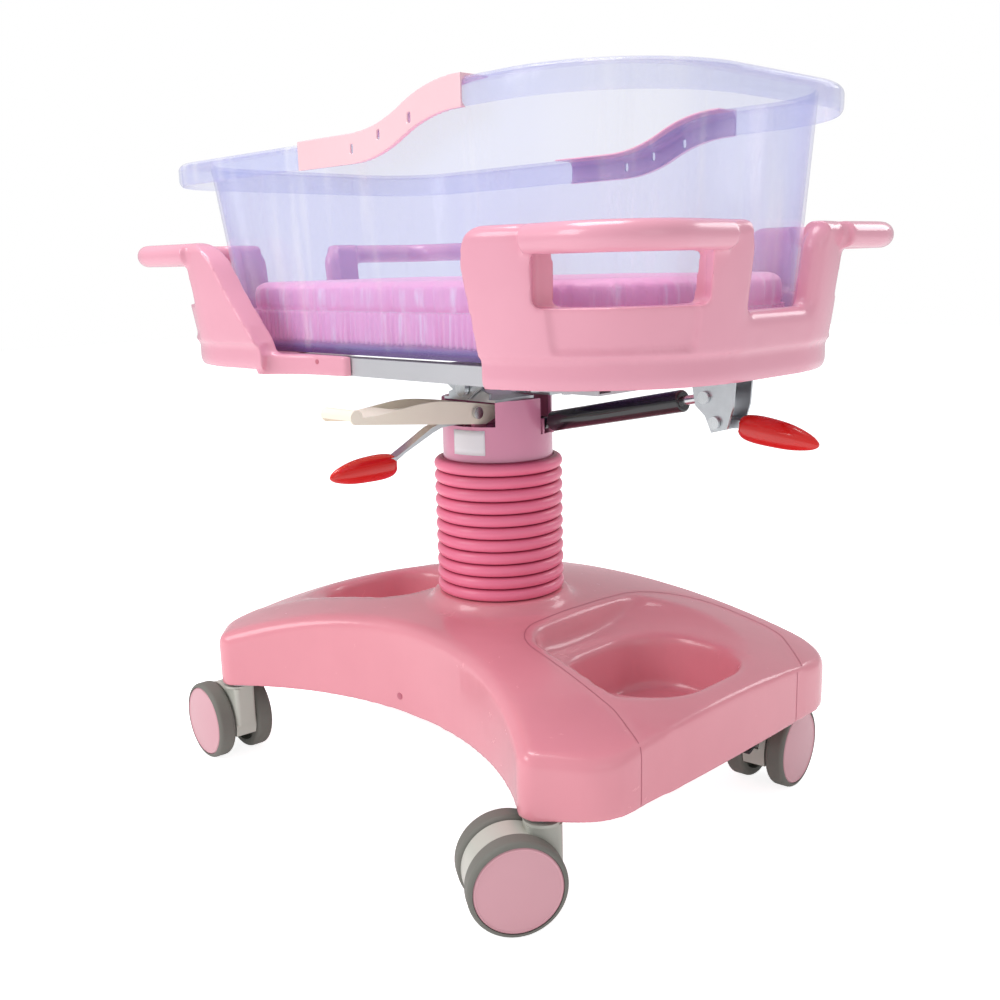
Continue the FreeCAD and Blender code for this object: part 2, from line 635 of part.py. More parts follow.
def pivot_pins():
    """Cross bolts held by the column head: tilt pivot, paddle, lock lever and spring anchor."""
    reach = CHEEK_Y + CHEEK_T + 1
    bolt = cyl(PIVOT_R, (PIVOT_X, -reach, PIVOT_Z), Y_AXIS, 2 * reach)
    heads = [cyl(8.5, (PIVOT_X, -reach - 6, PIVOT_Z), Y_AXIS, 6),
             cyl(8.5, (PIVOT_X, reach, PIVOT_Z), Y_AXIS, 7)]
    tilt = fuse([bolt] + heads)
    py, pz = PADDLE_PIVOT
    span = PADDLE_HALF + PADDLE_T / 2 + 0.5
    paddle = fuse([cyl(PIN_R, (-span, py, pz), X_AXIS, 2 * span),
                   cyl(7, (-span - 4, py, pz), X_AXIS, 4), cyl(7, (span, py, pz), X_AXIS, 4)])
    ly, lz = LOCK_PIVOT
    lock = cyl(PIN_R - 1, (-13, ly, lz), X_AXIS, 26)
    ax, az = ANCHOR
    anchor = cyl(PIN_R, (ax, SPRING_Y - 11, az), Y_AXIS, 22)
    return Part.makeCompound([tilt, paddle, lock, anchor])


# ---- levers ------------------------------------------------------------------------------

def height_paddle():
    """Pressed channel lever: two cheeks, a sunk web at the root, a flat dished tip."""
    outline = [
        edge((0, -28, 455), (0, -28, 470)),
        edge((0, -28, 470), (0, -62, 475.5)),
        spline([(0, -62, 475.5), (0, -100, 481), (0, -130, 483), (0, -160, 481), (0, -195, 477.5),
                (0, PADDLE_TIP + 15, 476.5)]),
        arc((0, PADDLE_TIP + 15, 476.5), (0, PADDLE_TIP, 474.5), (0, PADDLE_TIP + 5, 470)),
        edge((0, PADDLE_TIP + 5, 470), (0, -45, 449)),
        edge((0, -45, 449), (0, -28, 455))]
    wide = PADDLE_HALF + PADDLE_T / 2
    block = prism(outline, V(2 * wide, 0, 0))
    block.translate(V(-wide, 0, 0))
    inside = PADDLE_HALF - PADDLE_T / 2
    under = prism(polygon([(-inside, 0, 440), (-inside, 0, 466), (-inside, -150, 472),
                           (-inside, PADDLE_TIP - 7, 474.5), (-inside, PADDLE_TIP - 7, 440)]),
                  V(2 * inside, 0, 0))
    over = prism(polygon([(-inside, 0, 490), (-inside, 0, 468.5), (-inside, -150, 474.5),
                          (-inside, -175, 477), (-inside, -175, 490)]), V(2 * inside, 0, 0))
    root = box(-inside, inside, -80, 0, 440, 500)
    body = block.cut(under).cut(over).cut(root)
    py, pz = PADDLE_PIVOT
    return body.cut(cyl(PIN_R + FIT, (-40, py, pz), X_AXIS, 80))


def grip_leaf(length, height, width):
    """Smooth leaf-shaped grip along X: hollowed root at x = 0, tip at x = length."""
    rings = []
    for along, half, sink in GRIP_FORM:
        c = V(along * length, 0, -sink * height)
        ring = Part.Ellipse(c + V(0, 0, half * height), c + V(0, half * width, 0), c).toShape()
        rings.append(Part.Wire([ring]))
    leaf = Part.makeLoft(rings, True, False)
    return leaf.cut(cyl(0.24 * height, (-0.04 * length, -width, 0), Y_AXIS, 2 * width))


def lock_bar():
    """Bent flat bar from its pivot under the paddle down to the grip."""
    half = LOCK_BAR_W / 2
    t = LOCK_BAR_T
    ly, lz = LOCK_PIVOT
    outline = polygon([(-half, ly + 6, lz - t / 2), (-half, ly + 6, lz + t / 2),
                       (-half, -98, lz + t / 2 - 1), (-half, -112, lz - 2), (-half, -150, 432),
                       (-half, -166, 424.5), (-half, -200, 422),
                       (-half, -200, 422 - t), (-half, -167, 424.5 - t), (-half, -153, 432 - t),
                       (-half, -110, lz - 3 - t), (-half, -96, lz - t / 2 - 1)])
    bar = prism(outline, V(LOCK_BAR_W, 0, 0))
    eye = cyl(6, (-half, ly, lz), X_AXIS, LOCK_BAR_W)
    return fuse([bar, eye]).cut(cyl(PIN_R - 1 + FIT, (-half - 1, ly, lz), X_AXIS, LOCK_BAR_W + 2))


def lock_grip(bar):
    leaf = grip_leaf(GRIP_L, GRIP_H, GRIP_W)
    leaf.rotate(V(0, 0, 0), Z_AXIS, -90)
    leaf.translate(V(0, -163, 415))
    return leaf.cut(bar)


def spring_bracket():
    """Two zinc cheeks under the head cross bar, joined by a top web."""
    cx = ROD_PIN[0]
    cheeks = []
    for s in (-1, 1):
        y0 = min(SPRING_Y + s * 14, SPRING_Y + s * 16.5)
        cheeks.append(prism(polygon([(cx - 18, y0, TRAY_Z + 1), (cx + 36, y0, TRAY_Z + 1),
                                     (cx + 34, y0, 486), (cx + 27, y0, 462), (cx + 8, y0, 457),
                                     (cx, y0, 474), (cx - 12, y0, 484)]), V(0, 2.5, 0)))
    web = box(cx - 18, cx + 36, SPRING_Y - 16.5, SPRING_Y + 16.5, TRAY_Z - 1.5, TRAY_Z + 1)
    body = fuse(cheeks + [web])
    bx, bz = ROD_PIN
    lx, lz = TILT_LEVER_PIVOT
    body = body.cut(cyl(PIN_R, (bx, SPRING_Y - 30, bz), Y_AXIS, 60))
    return body.cut(cyl(PIN_R, (lx, SPRING_Y - 30, lz), Y_AXIS, 60))


def spring_pins():
    bx, bz = ROD_PIN
    lx, lz = TILT_LEVER_PIVOT
    pins = []
    for x, z in ((bx, bz), (lx, lz)):
        pin = cyl(PIN_R, (x, SPRING_Y - 18, z), Y_AXIS, 36)
        head = cyl(PIN_R + 2.5, (x, SPRING_Y - 20.5, z), Y_AXIS, 3.5)
        pins.append(fuse([pin, head]))
    return Part.makeCompound(pins)


def tilt_lever_arm():
    """Release arm: hub on its pin, nose under the rod and a tongue into the grip."""
    lx, lz = TILT_LEVER_PIVOT
    half = 6.0
    hub = cyl(8, (lx, SPRING_Y - half, lz), Y_AXIS, 2 * half)
    arm = prism(polygon([(lx, SPRING_Y - half, lz + 6), (lx + 26, SPRING_Y - half, lz + 2),
                         (lx + 60, SPRING_Y - half, lz - 1), (lx + 60, SPRING_Y - half, lz - 5),
                         (lx + 26, SPRING_Y - half, lz - 5), (lx, SPRING_Y - half, lz - 7)]),
                V(0, 2 * half, 0))
    nose = prism(polygon([(lx, SPRING_Y - half, lz + 7), (lx - 9, SPRING_Y - half, lz + 8),
                          (lx - 12, SPRING_Y - half, lz + 3), (lx, SPRING_Y - half, lz - 4)]),
                 V(0, 2 * half, 0))
    return fuse([hub, arm, nose]).cut(cyl(PIN_R + FIT, (lx, SPRING_Y - 10, lz), Y_AXIS, 20))


def tilt_lever_grip(arm):
    leaf = grip_leaf(GRIP_L, GRIP_H, GRIP_W)
    tip = leaf.BoundBox.XMax
    leaf.rotate(V(0, 0, 0), Y_AXIS, TILT_GRIP_SLOPE)
    leaf.translate(V(TILT_GRIP_TIP - tip, SPRING_Y, TILT_GRIP_Z))
    return leaf.cut(arm)


# ---- tilt gas spring ---------------------------------------------------------------------

def spring_frame():
    """Direction and length from the anchor pin to the rod pin."""
    dx = ROD_PIN[0] - ANCHOR[0]
    dz = ROD_PIN[1] - ANCHOR[1]
    return math.hypot(dx, dz), math.degrees(math.atan2(dz, dx))


def place_spring(shape):
    length, rise = spring_frame()
    shape = shape.copy()
    shape.rotate(V(0, 0, 0), Y_AXIS, -rise)
    shape.translate(V(ANCHOR[0], SPRING_Y, ANCHOR[1]))
    return shape


def spring_cylinder():
    end = SPRING_START + SPRING_L
    body = cyl(SPRING_R, (SPRING_START, 0, 0), X_AXIS, SPRING_L)
    body = body.makeFillet(2.5, [e for e in body.Edges if e.BoundBox.XLength < 0.01])
    eye = cyl(EYE_R, (0, -EYE_W / 2, 0), Y_AXIS, EYE_W)
    neck = cyl(4.5, (EYE_R - 2, 0, 0), X_AXIS, SPRING_START)
    body = fuse([body, neck, eye])
    body = body.cut(cyl(SPRING_BORE, (SPRING_START + 12, 0, 0), X_AXIS, SPRING_L - 22))
    body = body.cut(cyl(ROD_R + FIT, (SPRING_START + 12, 0, 0), X_AXIS, end))
    return place_spring(body.cut(cyl(PIN_R + FIT, (0, -EYE_W, 0), Y_AXIS, 2 * EYE_W)))


def spring_rod():
    length, rise = spring_frame()
    rod = cyl(ROD_R, (80, 0, 0), X_AXIS, length - 80 - 9)
    piston = cyl(SPRING_BORE - 0.3, (80, 0, 0), X_AXIS, 10)
    eye = cyl(PIN_R + OPEN_PIVOT + 3.2, (length, -EYE_W / 2, 0), Y_AXIS, EYE_W)
    body = fuse([rod, piston, eye])
    return place_spring(body.cut(cyl(PIN_R + OPEN_PIVOT, (length, -EYE_W, 0), Y_AXIS, 2 * EYE_W)))


# ---- tray --------------------------------------------------------------------------------

def tray_frame():
    """Welded ladder of square tube under the tub."""
    bars = []
    for s in (-1, 1):
        bars.append(box(-BAR_HALF_L, BAR_HALF_L, s * BAR_Y - BAR_W / 2, s * BAR_Y + BAR_W / 2,
                        TRAY_Z + 1, TRAY_Z + 1 + BAR_H))
    for x in (-CROSS_X, CROSS_X + 2):
        bars.append(box(x - BAR_W / 2, x + BAR_W / 2, -BAR_Y, BAR_Y, TRAY_Z + 1, TRAY_Z + 1 + BAR_H))
    bars.append(box(CHEEK_X[0] - 4, CHEEK_X[1] + 4, -BAR_Y, BAR_Y, TRAY_Z + 1, TRAY_Z + 7))
    body = fuse(bars)
    for s in (-1, 1):
        body = body.cut(box(-BAR_HALF_L - 1, BAR_HALF_L + 1, s * BAR_Y - BAR_W / 2 + 2,
                            s * BAR_Y + BAR_W / 2 - 2, TRAY_Z + 3, TRAY_Z - 1 + BAR_H))
    return body


def tilt_cheeks():
    """Hanging plates of the tray, each with a boss round the tilt bolt and a welded flange."""
    x0, x1 = CHEEK_X
    px, pz = PIVOT_X, PIVOT_Z
    r = BOSS_R
    k = r * math.sqrt(0.5)
    plates = []
    for s in (-1, 1):
        y = min(s * CHEEK_Y, s * (CHEEK_Y + CHEEK_T))
        plates.append(prism([
            edge((x0, y, TRAY_Z + 1), (x0, y, pz + 9)),
            edge((x0, y, pz + 9), (px - k, y, pz - k)),
            arc((px - k, y, pz - k), (px, y, pz - r), (px + k, y, pz - k)),
            edge((px + k, y, pz - k), (x1, y, pz + 9)),
            edge((x1, y, pz + 9), (x1, y, TRAY_Z + 1)),
            edge((x1, y, TRAY_Z + 1), (x0, y, TRAY_Z + 1))], V(0, CHEEK_T, 0)))
        inner = s * (CHEEK_Y - 12)
        plates.append(box(x0, x1, min(inner, s * CHEEK_Y), max(inner, s * CHEEK_Y), TRAY_Z - 2, TRAY_Z + 1))
    body = fuse(plates)
    return body.cut(cyl(PIVOT_R + FIT, (px, -CHEEK_Y - 10, pz), Y_AXIS, 2 * CHEEK_Y + 20))


def end_section(end, inset, start, z):
    """Plan of an end's drafted wall at height z, moved in by an inset."""
    gone = inset + BAND_DRAFT * (RIM_Z - z) / (RIM_Z - BAND_Z)
    return end_plan(end["x"] - gone, END_HALF_Y - gone, end["r"] - inset, start, z)


def end_loft(end, inset, start, z0, z1):
    plans = [end_section(end, inset, start, z) for z in (z0, z1)]
    return Part.makeLoft(plans, True, True)


def end_slab(end, inset, start, z0, z1):
    """Upright block of the stepped band under the wall."""
    gone = inset + BAND_DRAFT + BAND_STEP
    plan = end_plan(end["x"] - gone, END_HALF_Y - gone, end["r"] - BAND_STEP - inset, start, z0)
    return Part.Face(plan).extrude(V(0, 0, z1 - z0))


def end_window(end):
    """Cutter of one near-side window: jambs splayed inwards, round corners at the sill."""
    x_out = end["x"] - 6
    x_in = end["x"] - BAND_T - 4
    y_out = -END_HALF_Y + 6
    y_in = -END_HALF_Y + BAND_T + 4
    cutter = prism(polygon([(POST_X, -400, SILL_Z), (POST_X, y_out, SILL_Z), (POST_X - SPLAY, y_in, SILL_Z),
                            (x_in, -POST_Y + SPLAY, SILL_Z), (x_out, -POST_Y, SILL_Z),
                            (600, -POST_Y, SILL_Z), (600, -400, SILL_Z)]), V(0, 0, 100))
    sill = [e for e in cutter.Edges if e.BoundBox.ZMax < SILL_Z + 0.1
            and (e.BoundBox.XMax < POST_X + 1 or e.BoundBox.YMin > -POST_Y - 1)]
    return cutter.makeFillet(7, sill)


def end_moulding(end, wing):
    """End moulding: drafted wall on a stepped band, two corner handles and a dip between."""
    t = BAND_T
    start = end["start"]
    inner = start - 5
    wall = end_loft(end, 0, start, BAND_Z, RIM_Z).cut(end_loft(end, t, inner, BAND_Z, RIM_Z + 1))
    rims = [e for e in wall.Edges if e.BoundBox.ZMin > RIM_Z - 0.1 and e.BoundBox.XMax > start + 1]
    wall = wall.makeFillet(TOP_R, rims)
    band = end_slab(end, 0, start, TRAY_Z, BAND_Z)
    under = [e for e in band.Edges if e.BoundBox.ZMax < TRAY_Z + 0.1 and e.BoundBox.Center.x > start + 1]
    band = band.makeFillet(16, under).cut(end_foot_slab(end, t, inner, FLOOR_Z + FLOOR_T))
    body = wall.fuse(band)

    # hollow walls, open to the underside
    foot = DIP_Z - ROLL_R
    pocket = end_loft(end, 5, start + 5, BAND_Z, RIM_Z).cut(end_loft(end, t - 5, start, BAND_Z, RIM_Z))
    low = end_slab(end, 5, start + 5, FLOOR_Z - 1, BAND_Z).cut(end_foot_slab(end, t - 5, start, FLOOR_Z - 2))
    pocket = pocket.common(box(0, 600, -400, 400, BAND_Z - 1, foot - 4))
    for cutter in (end_slab(end, 5, inner, TRAY_Z - 1, FLOOR_Z), low, pocket):
        body = body.cut(cutter)

    # face under each window, sunk between the jambs, and the window itself above its sill
    recess = end_loft(end, RECESS, inner, BAND_Z, RIM_Z)
    corner = box(POST_X, 600, -400, -POST_Y, BAND_Z + 3, SILL_Z + 1)
    near = end_window(end)
    for cutter in (corner.cut(recess), near):
        body = body.cut(cutter).cut(cutter.mirror(V(0, 0, 0), Y_AXIS))

    # dip at the middle of the end, cut to the middle of its rolled edge
    lean = math.degrees(math.atan2(BAND_DRAFT, RIM_Z - BAND_Z))
    side = DIP_HALF + ROLL_R
    body = body.cut(box(start + 60, 600, -side, side, foot, RIM_Z + 1))

    # leaning front edge of each wing
    left = start - 10
    pts = [(start + dx, -400, z) for dx, z in wing]
    edges = [spline(pts), edge(pts[-1], (left, -400, pts[-1][2])),
             edge((left, -400, pts[-1][2]), (left, -400, pts[0][2])), edge((left, -400, pts[0][2]), pts[0])]
    body = body.cut(prism(edges, V(0, 800, 0)))

    # handle bars round the corners and the roll round the dip
    roll = dip_roll(end)
    roll.rotate(V(end["x"] - ROLL_R - 1, 0, RIM_Z), Y_AXIS, lean)
    return body.fuse([handle_bar(end, -1), handle_bar(end, 1), roll]).removeSplitter()


def end_foot_slab(end, inset, start, z0):
    """Upright block inside the wall's foot, up to the band's top."""
    plan = end_section(end, inset, start, BAND_Z)
    plan.translate(V(0, 0, z0 - BAND_Z))
    return Part.Face(plan).extrude(V(0, 0, BAND_Z - z0))


def handle_bar(end, side):
    """Round bar from post to post, bowed out over the corner."""
    bx = end["bar_x"]
    by = side * end["bar_y"]
    r = end["bar_r"]
    k = r * (1 - math.sqrt(0.5))
    z = RIM_Z - HANDLE_R
    path = Part.Wire([
        edge((POST_X - 10, by, z), (bx - r, by, z)),
        arc((bx - r, by, z), (bx - k, by - side * k, z), (bx, by - side * r, z)),
        edge((bx, by - side * r, z), (bx, side * (POST_Y - 18), z))])
    ring = Part.Wire([Part.Circle(V(POST_X - 10, by, z), X_AXIS, HANDLE_R).toShape()])
    return path.makePipeShell([ring], True, False)


def dip_roll(end):
    """Rolled edge from post to post round the dip, as one bent tube."""
    x = end["x"] - ROLL_R - 1
    side = DIP_HALF + ROLL_R
    top = RIM_Z - ROLL_R
    foot = DIP_Z - ROLL_R
    a = ROLL_TOP_BEND
    b = ROLL_FOOT_BEND
    ka = a * (1 - math.sqrt(0.5))
    kb = b * (1 - math.sqrt(0.5))
    half = [edge((x, -POST_Y + 18, top), (x, -side - a, top)),
            arc((x, -side - a, top), (x, -side - ka, top - ka), (x, -side, top - a)),
            edge((x, -side, top - a), (x, -side, foot + b)),
            arc((x, -side, foot + b), (x, -side + kb, foot + kb), (x, -side + b, foot)),
            edge((x, -side + b, foot), (x, 0, foot))]
    path = Part.Wire(half)
    ring = Part.Wire([Part.Circle(V(x, -POST_Y + 18, top), Y_AXIS, ROLL_R).toShape()])
    tube_half = path.makePipeShell([ring], True, False)
    return tube_half.fuse(tube_half.mirror(V(0, 0, 0), Y_AXIS))


def tongue(side):
    """Low apron of the foot moulding that covers the side bar."""
    s = side
    z0 = TRAY_Z
    root = -TONGUE_ROOT
    face = BAR_Y + BAR_W / 2
    pts = [(root, s * (END_HALF_Y - BAND_DRAFT - BAND_STEP), z0), (root + 26, s * (face + 27), z0),
           (root + 53, s * (face + 16), z0), (root + 83, s * (face + 11), z0),
           (TONGUE_X, s * (face + 8), z0)]
    plate = prism([spline(pts),
                   edge(pts[-1], (TONGUE_X + 6, s * face, z0)),
                   edge((TONGUE_X + 6, s * face, z0), (root, s * face, z0)),
                   edge((root, s * face, z0), pts[0])], V(0, 0, FLOOR_Z + FLOOR_T - TRAY_Z))
    return plate


def moulding_screws():
    """Pan-head screws up through the side bars into the moulding floors."""
    screws = []
    for x in (-CROSS_X + 35, -CROSS_X + 75, CROSS_X - 75, CROSS_X - 35):
        for s in (-1, 1):
            screws.append(cyl(4.5, (x, s * BAR_Y, TRAY_Z - 1), Z_AXIS, 2))
    return Part.makeCompound(screws)


# ---- tub and mattress --------------------------------------------------------------------

def sweep_band(low, high, x0, x1):
    """Slab across the tub that follows the S-shaped rise of the rim, between two offsets."""
    a, b = SWEEP_X
    mid = (a + b) / 2
    rise = LIP_HIGH_Z - LIP_LOW_Z
    r = ((b - a) ** 2 + rise ** 2) / (4 * rise)
    sag = r - math.sqrt(r * r - ((mid - a) / 2) ** 2)

    def line(offset):
        z0 = LIP_LOW_Z + offset
        z1 = LIP_HIGH_Z + offset
        zm = (z0 + z1) / 2
        return [((-500, z0), (a, z0)), ((a, z0), ((a + mid) / 2, z0 + sag), (mid, zm)),
                ((mid, zm), ((b + mid) / 2, z1 - sag), (b, z1)), ((b, z1), (500, z1))]

    def lift(points):
        pts = [(p[0], -400, p[1]) for p in points]
        return edge(*pts) if len(pts) == 2 else arc(*pts)

    lower = [lift(p) for p in line(low)]
    upper = [lift(p[::-1]) for p in line(high)[::-1]]
    sides = [edge((500, -400, LIP_HIGH_Z + low), (500, -400, LIP_HIGH_Z + high)),
             edge((-500, -400, LIP_LOW_Z + high), (-500, -400, LIP_LOW_Z + low))]
    slab = prism(lower + [sides[0]] + upper + [sides[1]], V(0, 800, 0))
    return slab.common(box(x0, x1, -400, 400, 0, 1200))


def tub_loft(grow, z0, z1):
    low = rounded_plan(z=z0, **grown(plan_at(z0), grow))
    high = rounded_plan(z=z1, **grown(plan_at(z1), grow))
    return Part.makeLoft([low, high], True, True)


def lip_prism(grow):
    return Part.Face(rounded_plan(z=LIP_LOW_Z - 20, **grown(LIP, grow))).extrude(V(0, 0, 150))


def tub_lip_block():
    """Solid rim band with its round outer edge, before it is hollowed."""
    block = lip_prism(0).common(sweep_band(0, LIP_H, -500, 500))
    top = [e for e in block.Edges if e.BoundBox.ZMin > LIP_LOW_Z + LIP_H - 1
           and not (e.BoundBox.XLength < 1 and e.BoundBox.YLength > 430) and e.Length > 5]
    outer = []
    for e in top:
        m = e.valueAt((e.FirstParameter + e.LastParameter) / 2)
        across = abs(m.y) < LIP["half"] - 60 and abs(m.x) < LIP["foot"] - 60
        if not across:
            outer.append(e)
    return block.makeFillet(LIP_EDGE_R, outer)


def tub_shape(block):
    walls = tub_loft(0, TUB_Z, TUB_CUT_Z).common(sweep_band(-400, LIP_H - 1, -500, 500))
    body = walls.fuse(block)
    under = lip_prism(-LIP_WALL).common(sweep_band(-60, LIP_H - LIP_WALL, -500, 500))
    under = under.cut(tub_loft(0, TUB_Z, TUB_CUT_Z))
    body = body.cut(under)
    return body.cut(tub_loft(-TUB_WALL, TUB_Z + TUB_WALL, TUB_CUT_Z + 10))


def rim_grip(block, side):
    """Clip-on grip along the sloping part of the rim, with three slots."""
    x0, x1 = GRIP_X
    cover = lip_prism(GRIP_SKIN).common(sweep_band(1, LIP_H + GRIP_SKIN, x0, x1))
    y0 = min(side * (LIP["half"] - 34), side * 300)
    cover = cover.common(box(x0 - 1, x1 + 1, y0, y0 + 300 - LIP["half"] + 34, 600, 900))
    skin = cover.cut(block)
    skin = skin.cut(tub_loft(0, TUB_Z, TUB_CUT_Z).cut(sweep_band(LIP_H, LIP_H + 40, -500, 500)))
    for x in GRIP_SLOTS:
        along = max(0.0, (x - SWEEP_X[0]) / (SWEEP_X[1] - SWEEP_X[0]))
        rise = LIP_LOW_Z + LIP_H - 14 + (LIP_HIGH_Z - LIP_LOW_Z) * along
        y0 = min(side * (LIP["half"] - 1), side * (LIP["half"] + 10))
        skin = skin.cut(box(x - 2, x + 2, y0, y0 + 11, rise - 5, rise + 5))
    return max(skin.Solids, key=lambda solid: solid.Volume)


def mattress():
    z0 = TUB_Z + TUB_WALL + SEAT
    low = grown(plan_at(z0), -TUB_WALL - MATTRESS_GAP)
    pad = Part.Face(rounded_plan(z=z0, **low)).extrude(V(0, 0, MATTRESS_TOP - z0))
    rims = [e for e in pad.Edges if e.BoundBox.ZLength < 0.01]
    return pad.makeFillet(9, rims)


# ---- build -------------------------------------------------------------------------------

def main():
    os.makedirs("parts", exist_ok=True)

    outer = base_outer(0, 0, BASE_EDGE_R)
    hollow = base_outer(BASE_WALL, BASE_WALL, 0)
    openings = panel_prism(0, BASE_Z - 1, COLLAR_Z)
    cover = outer.cut(hollow).cut(openings).cut(mirrored_x(openings))
    cover = cover.cut(cyl(OUTER_R + 6, (0, 0, BASE_Z), Z_AXIS, 200))
    save("base_cover", cover)
    low = base_outer(PANEL_DROP, PANEL_DROP, 0)
    deep = base_outer(PANEL_DROP + PANEL_WALL, PANEL_DROP + PANEL_WALL, 0)
    panel = end_panel(low, deep)
    save("base_end_panel_head", panel)
    save("base_end_panel_foot", mirrored_x(panel))
    save("base_frame", base_frame())
    save("caster_stems", caster_stems())

    axle = caster_axle()
    for name in HEADINGS:
        save("caster_hood_" + name, place_caster(caster_hood(name in BRAKED), name))
        save("caster_axle_" + name, place_caster(axle, name))
        for mark, side in (("outer", 1), ("inner", -1)):
            save("wheel_tyre_%s_%s" % (name, mark), place_caster(caster_tyre(side), name))
            save("wheel_cap_%s_%s" % (name, mark), place_caster(caster_cap(side), name))
    for name in BRAKED:
        save("brake_pedal_" + name, place_caster(brake_pedal(), name))

    foot = ARM_Z + ARM_H
    bore = OUTER_R - OUTER_WALL
    save("column_outer_tube", tube(OUTER_R, bore, (0, 0, foot), Z_AXIS, OUTER_TOP - foot))
    save("column_bush", tube(bore, INNER_R + FIT, (0, 0, OUTER_TOP - BUSH_L), Z_AXIS, BUSH_L))
    inner_tube = tube(INNER_R, INNER_R - INNER_WALL, (0, 0, INNER_BOTTOM), Z_AXIS, DECK_Z - INNER_BOTTOM)
    save("column_inner_tube", inner_tube)
    save("bellows", bellows())
    lift_cyl = tube(LIFT_CYL_R, LIFT_ROD_R + FIT, (0, 0, LIFT_CYL_BOTTOM), Z_AXIS, LIFT_CYL_L)
    save("lift_cylinder", lift_cyl)
    rod_foot = LIFT_CYL_BOTTOM + 8
    save("lift_rod", cyl(LIFT_ROD_R, (0, 0, rod_foot), Z_AXIS, LIFT_ROD_TOP - rod_foot))
    save("column_head", column_head())
    save("tilt_bracket", tilt_bracket())
    save("pivot_pins", pivot_pins())

    save("height_paddle", height_paddle())
    bar = lock_bar()
    save("lock_lever_bar", bar)
    save("lock_lever_grip", lock_grip(bar))
    save("tilt_spring_cylinder", spring_cylinder())
    save("tilt_spring_rod", spring_rod())
    save("tilt_spring_bracket", spring_bracket())
    save("tilt_spring_pins", spring_pins())
    arm = tilt_lever_arm()
    save("tilt_lever_arm", arm)
    save("tilt_lever_grip", tilt_lever_grip(arm))

    save("tray_frame", tray_frame())
    save("tilt_cheeks", tilt_cheeks())
    save("head_moulding", end_moulding(HEAD_END, HEAD_WING))
    save("foot_moulding", fuse([mirrored_x(end_moulding(FOOT_END, FOOT_WING)), tongue(-1), tongue(1)]))
    save("moulding_screws", moulding_screws())

    block = tub_lip_block()
    save("tub", tub_shape(block))
    save("rim_grip_near", rim_grip(block, -1))
    save("rim_grip_far", rim_grip(block, 1))
    save("mattress", mattress())


main()
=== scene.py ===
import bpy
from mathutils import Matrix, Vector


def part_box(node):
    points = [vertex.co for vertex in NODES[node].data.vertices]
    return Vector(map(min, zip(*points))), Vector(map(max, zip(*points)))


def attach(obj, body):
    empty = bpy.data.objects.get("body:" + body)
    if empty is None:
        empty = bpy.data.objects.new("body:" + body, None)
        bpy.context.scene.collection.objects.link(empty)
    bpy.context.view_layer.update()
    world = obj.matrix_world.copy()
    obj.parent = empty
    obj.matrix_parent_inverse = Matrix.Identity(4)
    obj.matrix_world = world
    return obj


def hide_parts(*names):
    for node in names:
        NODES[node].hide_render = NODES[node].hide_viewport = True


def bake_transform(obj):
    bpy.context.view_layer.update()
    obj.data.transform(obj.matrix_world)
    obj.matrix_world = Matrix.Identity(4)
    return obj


bl_info = {
    "name": "Hospital Bassinet",
    "version": (1, 0, 0),
    "blender": (4, 5, 0),
    "location": "View3D > Sidebar > Bassinet",
    "description": "Finishes, soft goods and stage for a tilting hospital bassinet",
    "category": "Object",
}

import math

import bmesh
import bpy
from bpy.props import FloatProperty, FloatVectorProperty, PointerProperty
from mathutils import Matrix, Vector, noise
from mathutils.bvhtree import BVHTree
from mathutils.kdtree import KDTree

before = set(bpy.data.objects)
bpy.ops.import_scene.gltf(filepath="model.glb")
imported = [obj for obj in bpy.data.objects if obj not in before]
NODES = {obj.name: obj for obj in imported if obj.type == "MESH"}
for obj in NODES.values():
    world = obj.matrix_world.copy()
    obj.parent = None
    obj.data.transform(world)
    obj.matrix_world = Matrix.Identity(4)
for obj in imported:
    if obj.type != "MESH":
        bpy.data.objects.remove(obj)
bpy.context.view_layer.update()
CASTERS = ("near_head", "near_foot", "far_head", "far_foot")
SIDES = ("outer", "inner")
MERGE = 1e-6    # points nearer than this are one
CLOSING = 0.0013    # slits narrower than twice this close in a moulded skin
MOULDING_ROUNDS = 4    # rounds of relaxing on the end mouldings' skins
BASE_ROUNDS = 5    # rounds of relaxing on the base's skin
HEAD_GRAIN = 0.0022    # voxel of the head moulding's skin
FOOT_GRAIN = 0.0025    # voxel of the foot moulding's skin
BASE_GRAIN = 0.0041    # voxel of the base's skin
GRIP_GRAIN = 0.0011    # voxel of the rim grips' skins
GRIP_SWELL = 0.0004    # how far a grip's skin swells before it is relaxed
GRIP_SHRINK = 0.0002    # and shrinks after it
WINDOW_X = {"head": (0.24, 0.372), "foot": (-0.39, -0.24)}    # clear run of the side windows
WINDOW_Y = (0.0985, 0.2)   # their clear depth, from the middle of the bed
WINDOW_Z = (0.5936, 0.638)
WING_X = {"head": (0.2128, 0.2108, 0.022), "foot": (-0.1602, -0.1742, -0.024)}   # foot, top, depth
WING_Y = (0.206, 0.2285)   # the hollow wall at the wings' cut ends
WING_Z = ((0.530, 0.549), (0.548, 0.569))    # its upright and leaning stretches
PAD_ROOM = (0.0035, 0.0035, 0.002)    # how far the pad starts inside its pattern
PAD_GRAIN = 0.0055    # voxel of the pad
PAD_STEPS = 20    # steps of the pad's filling
PAD_PRESSURE = 4.0
PAD_SIDEWAYS = 0.002    # most that filling moves the pad's sides
EDGE_BAND = 0.03    # width of the pad's sewn edge
UNDER_TUCK = 0.005    # how far the pad draws in under its seam
SEAM_PINCH = 0.0028    # how far the seam draws it in
SEAM_SPREAD = 0.004    # height over which a tuck fades
FOLD_DEPTH = 0.0032    # depth of the upper band's folds
FOLD_PITCH = 0.024    # their mean pitch
LOOP_COUNT = 1400    # places round the mattress
SKIRT_ROWS = 9
CLOTH_WALL = 0.0005    # thickness of the skirt's cloth
SEAM_HALF = 0.0006    # half the width of a parting line
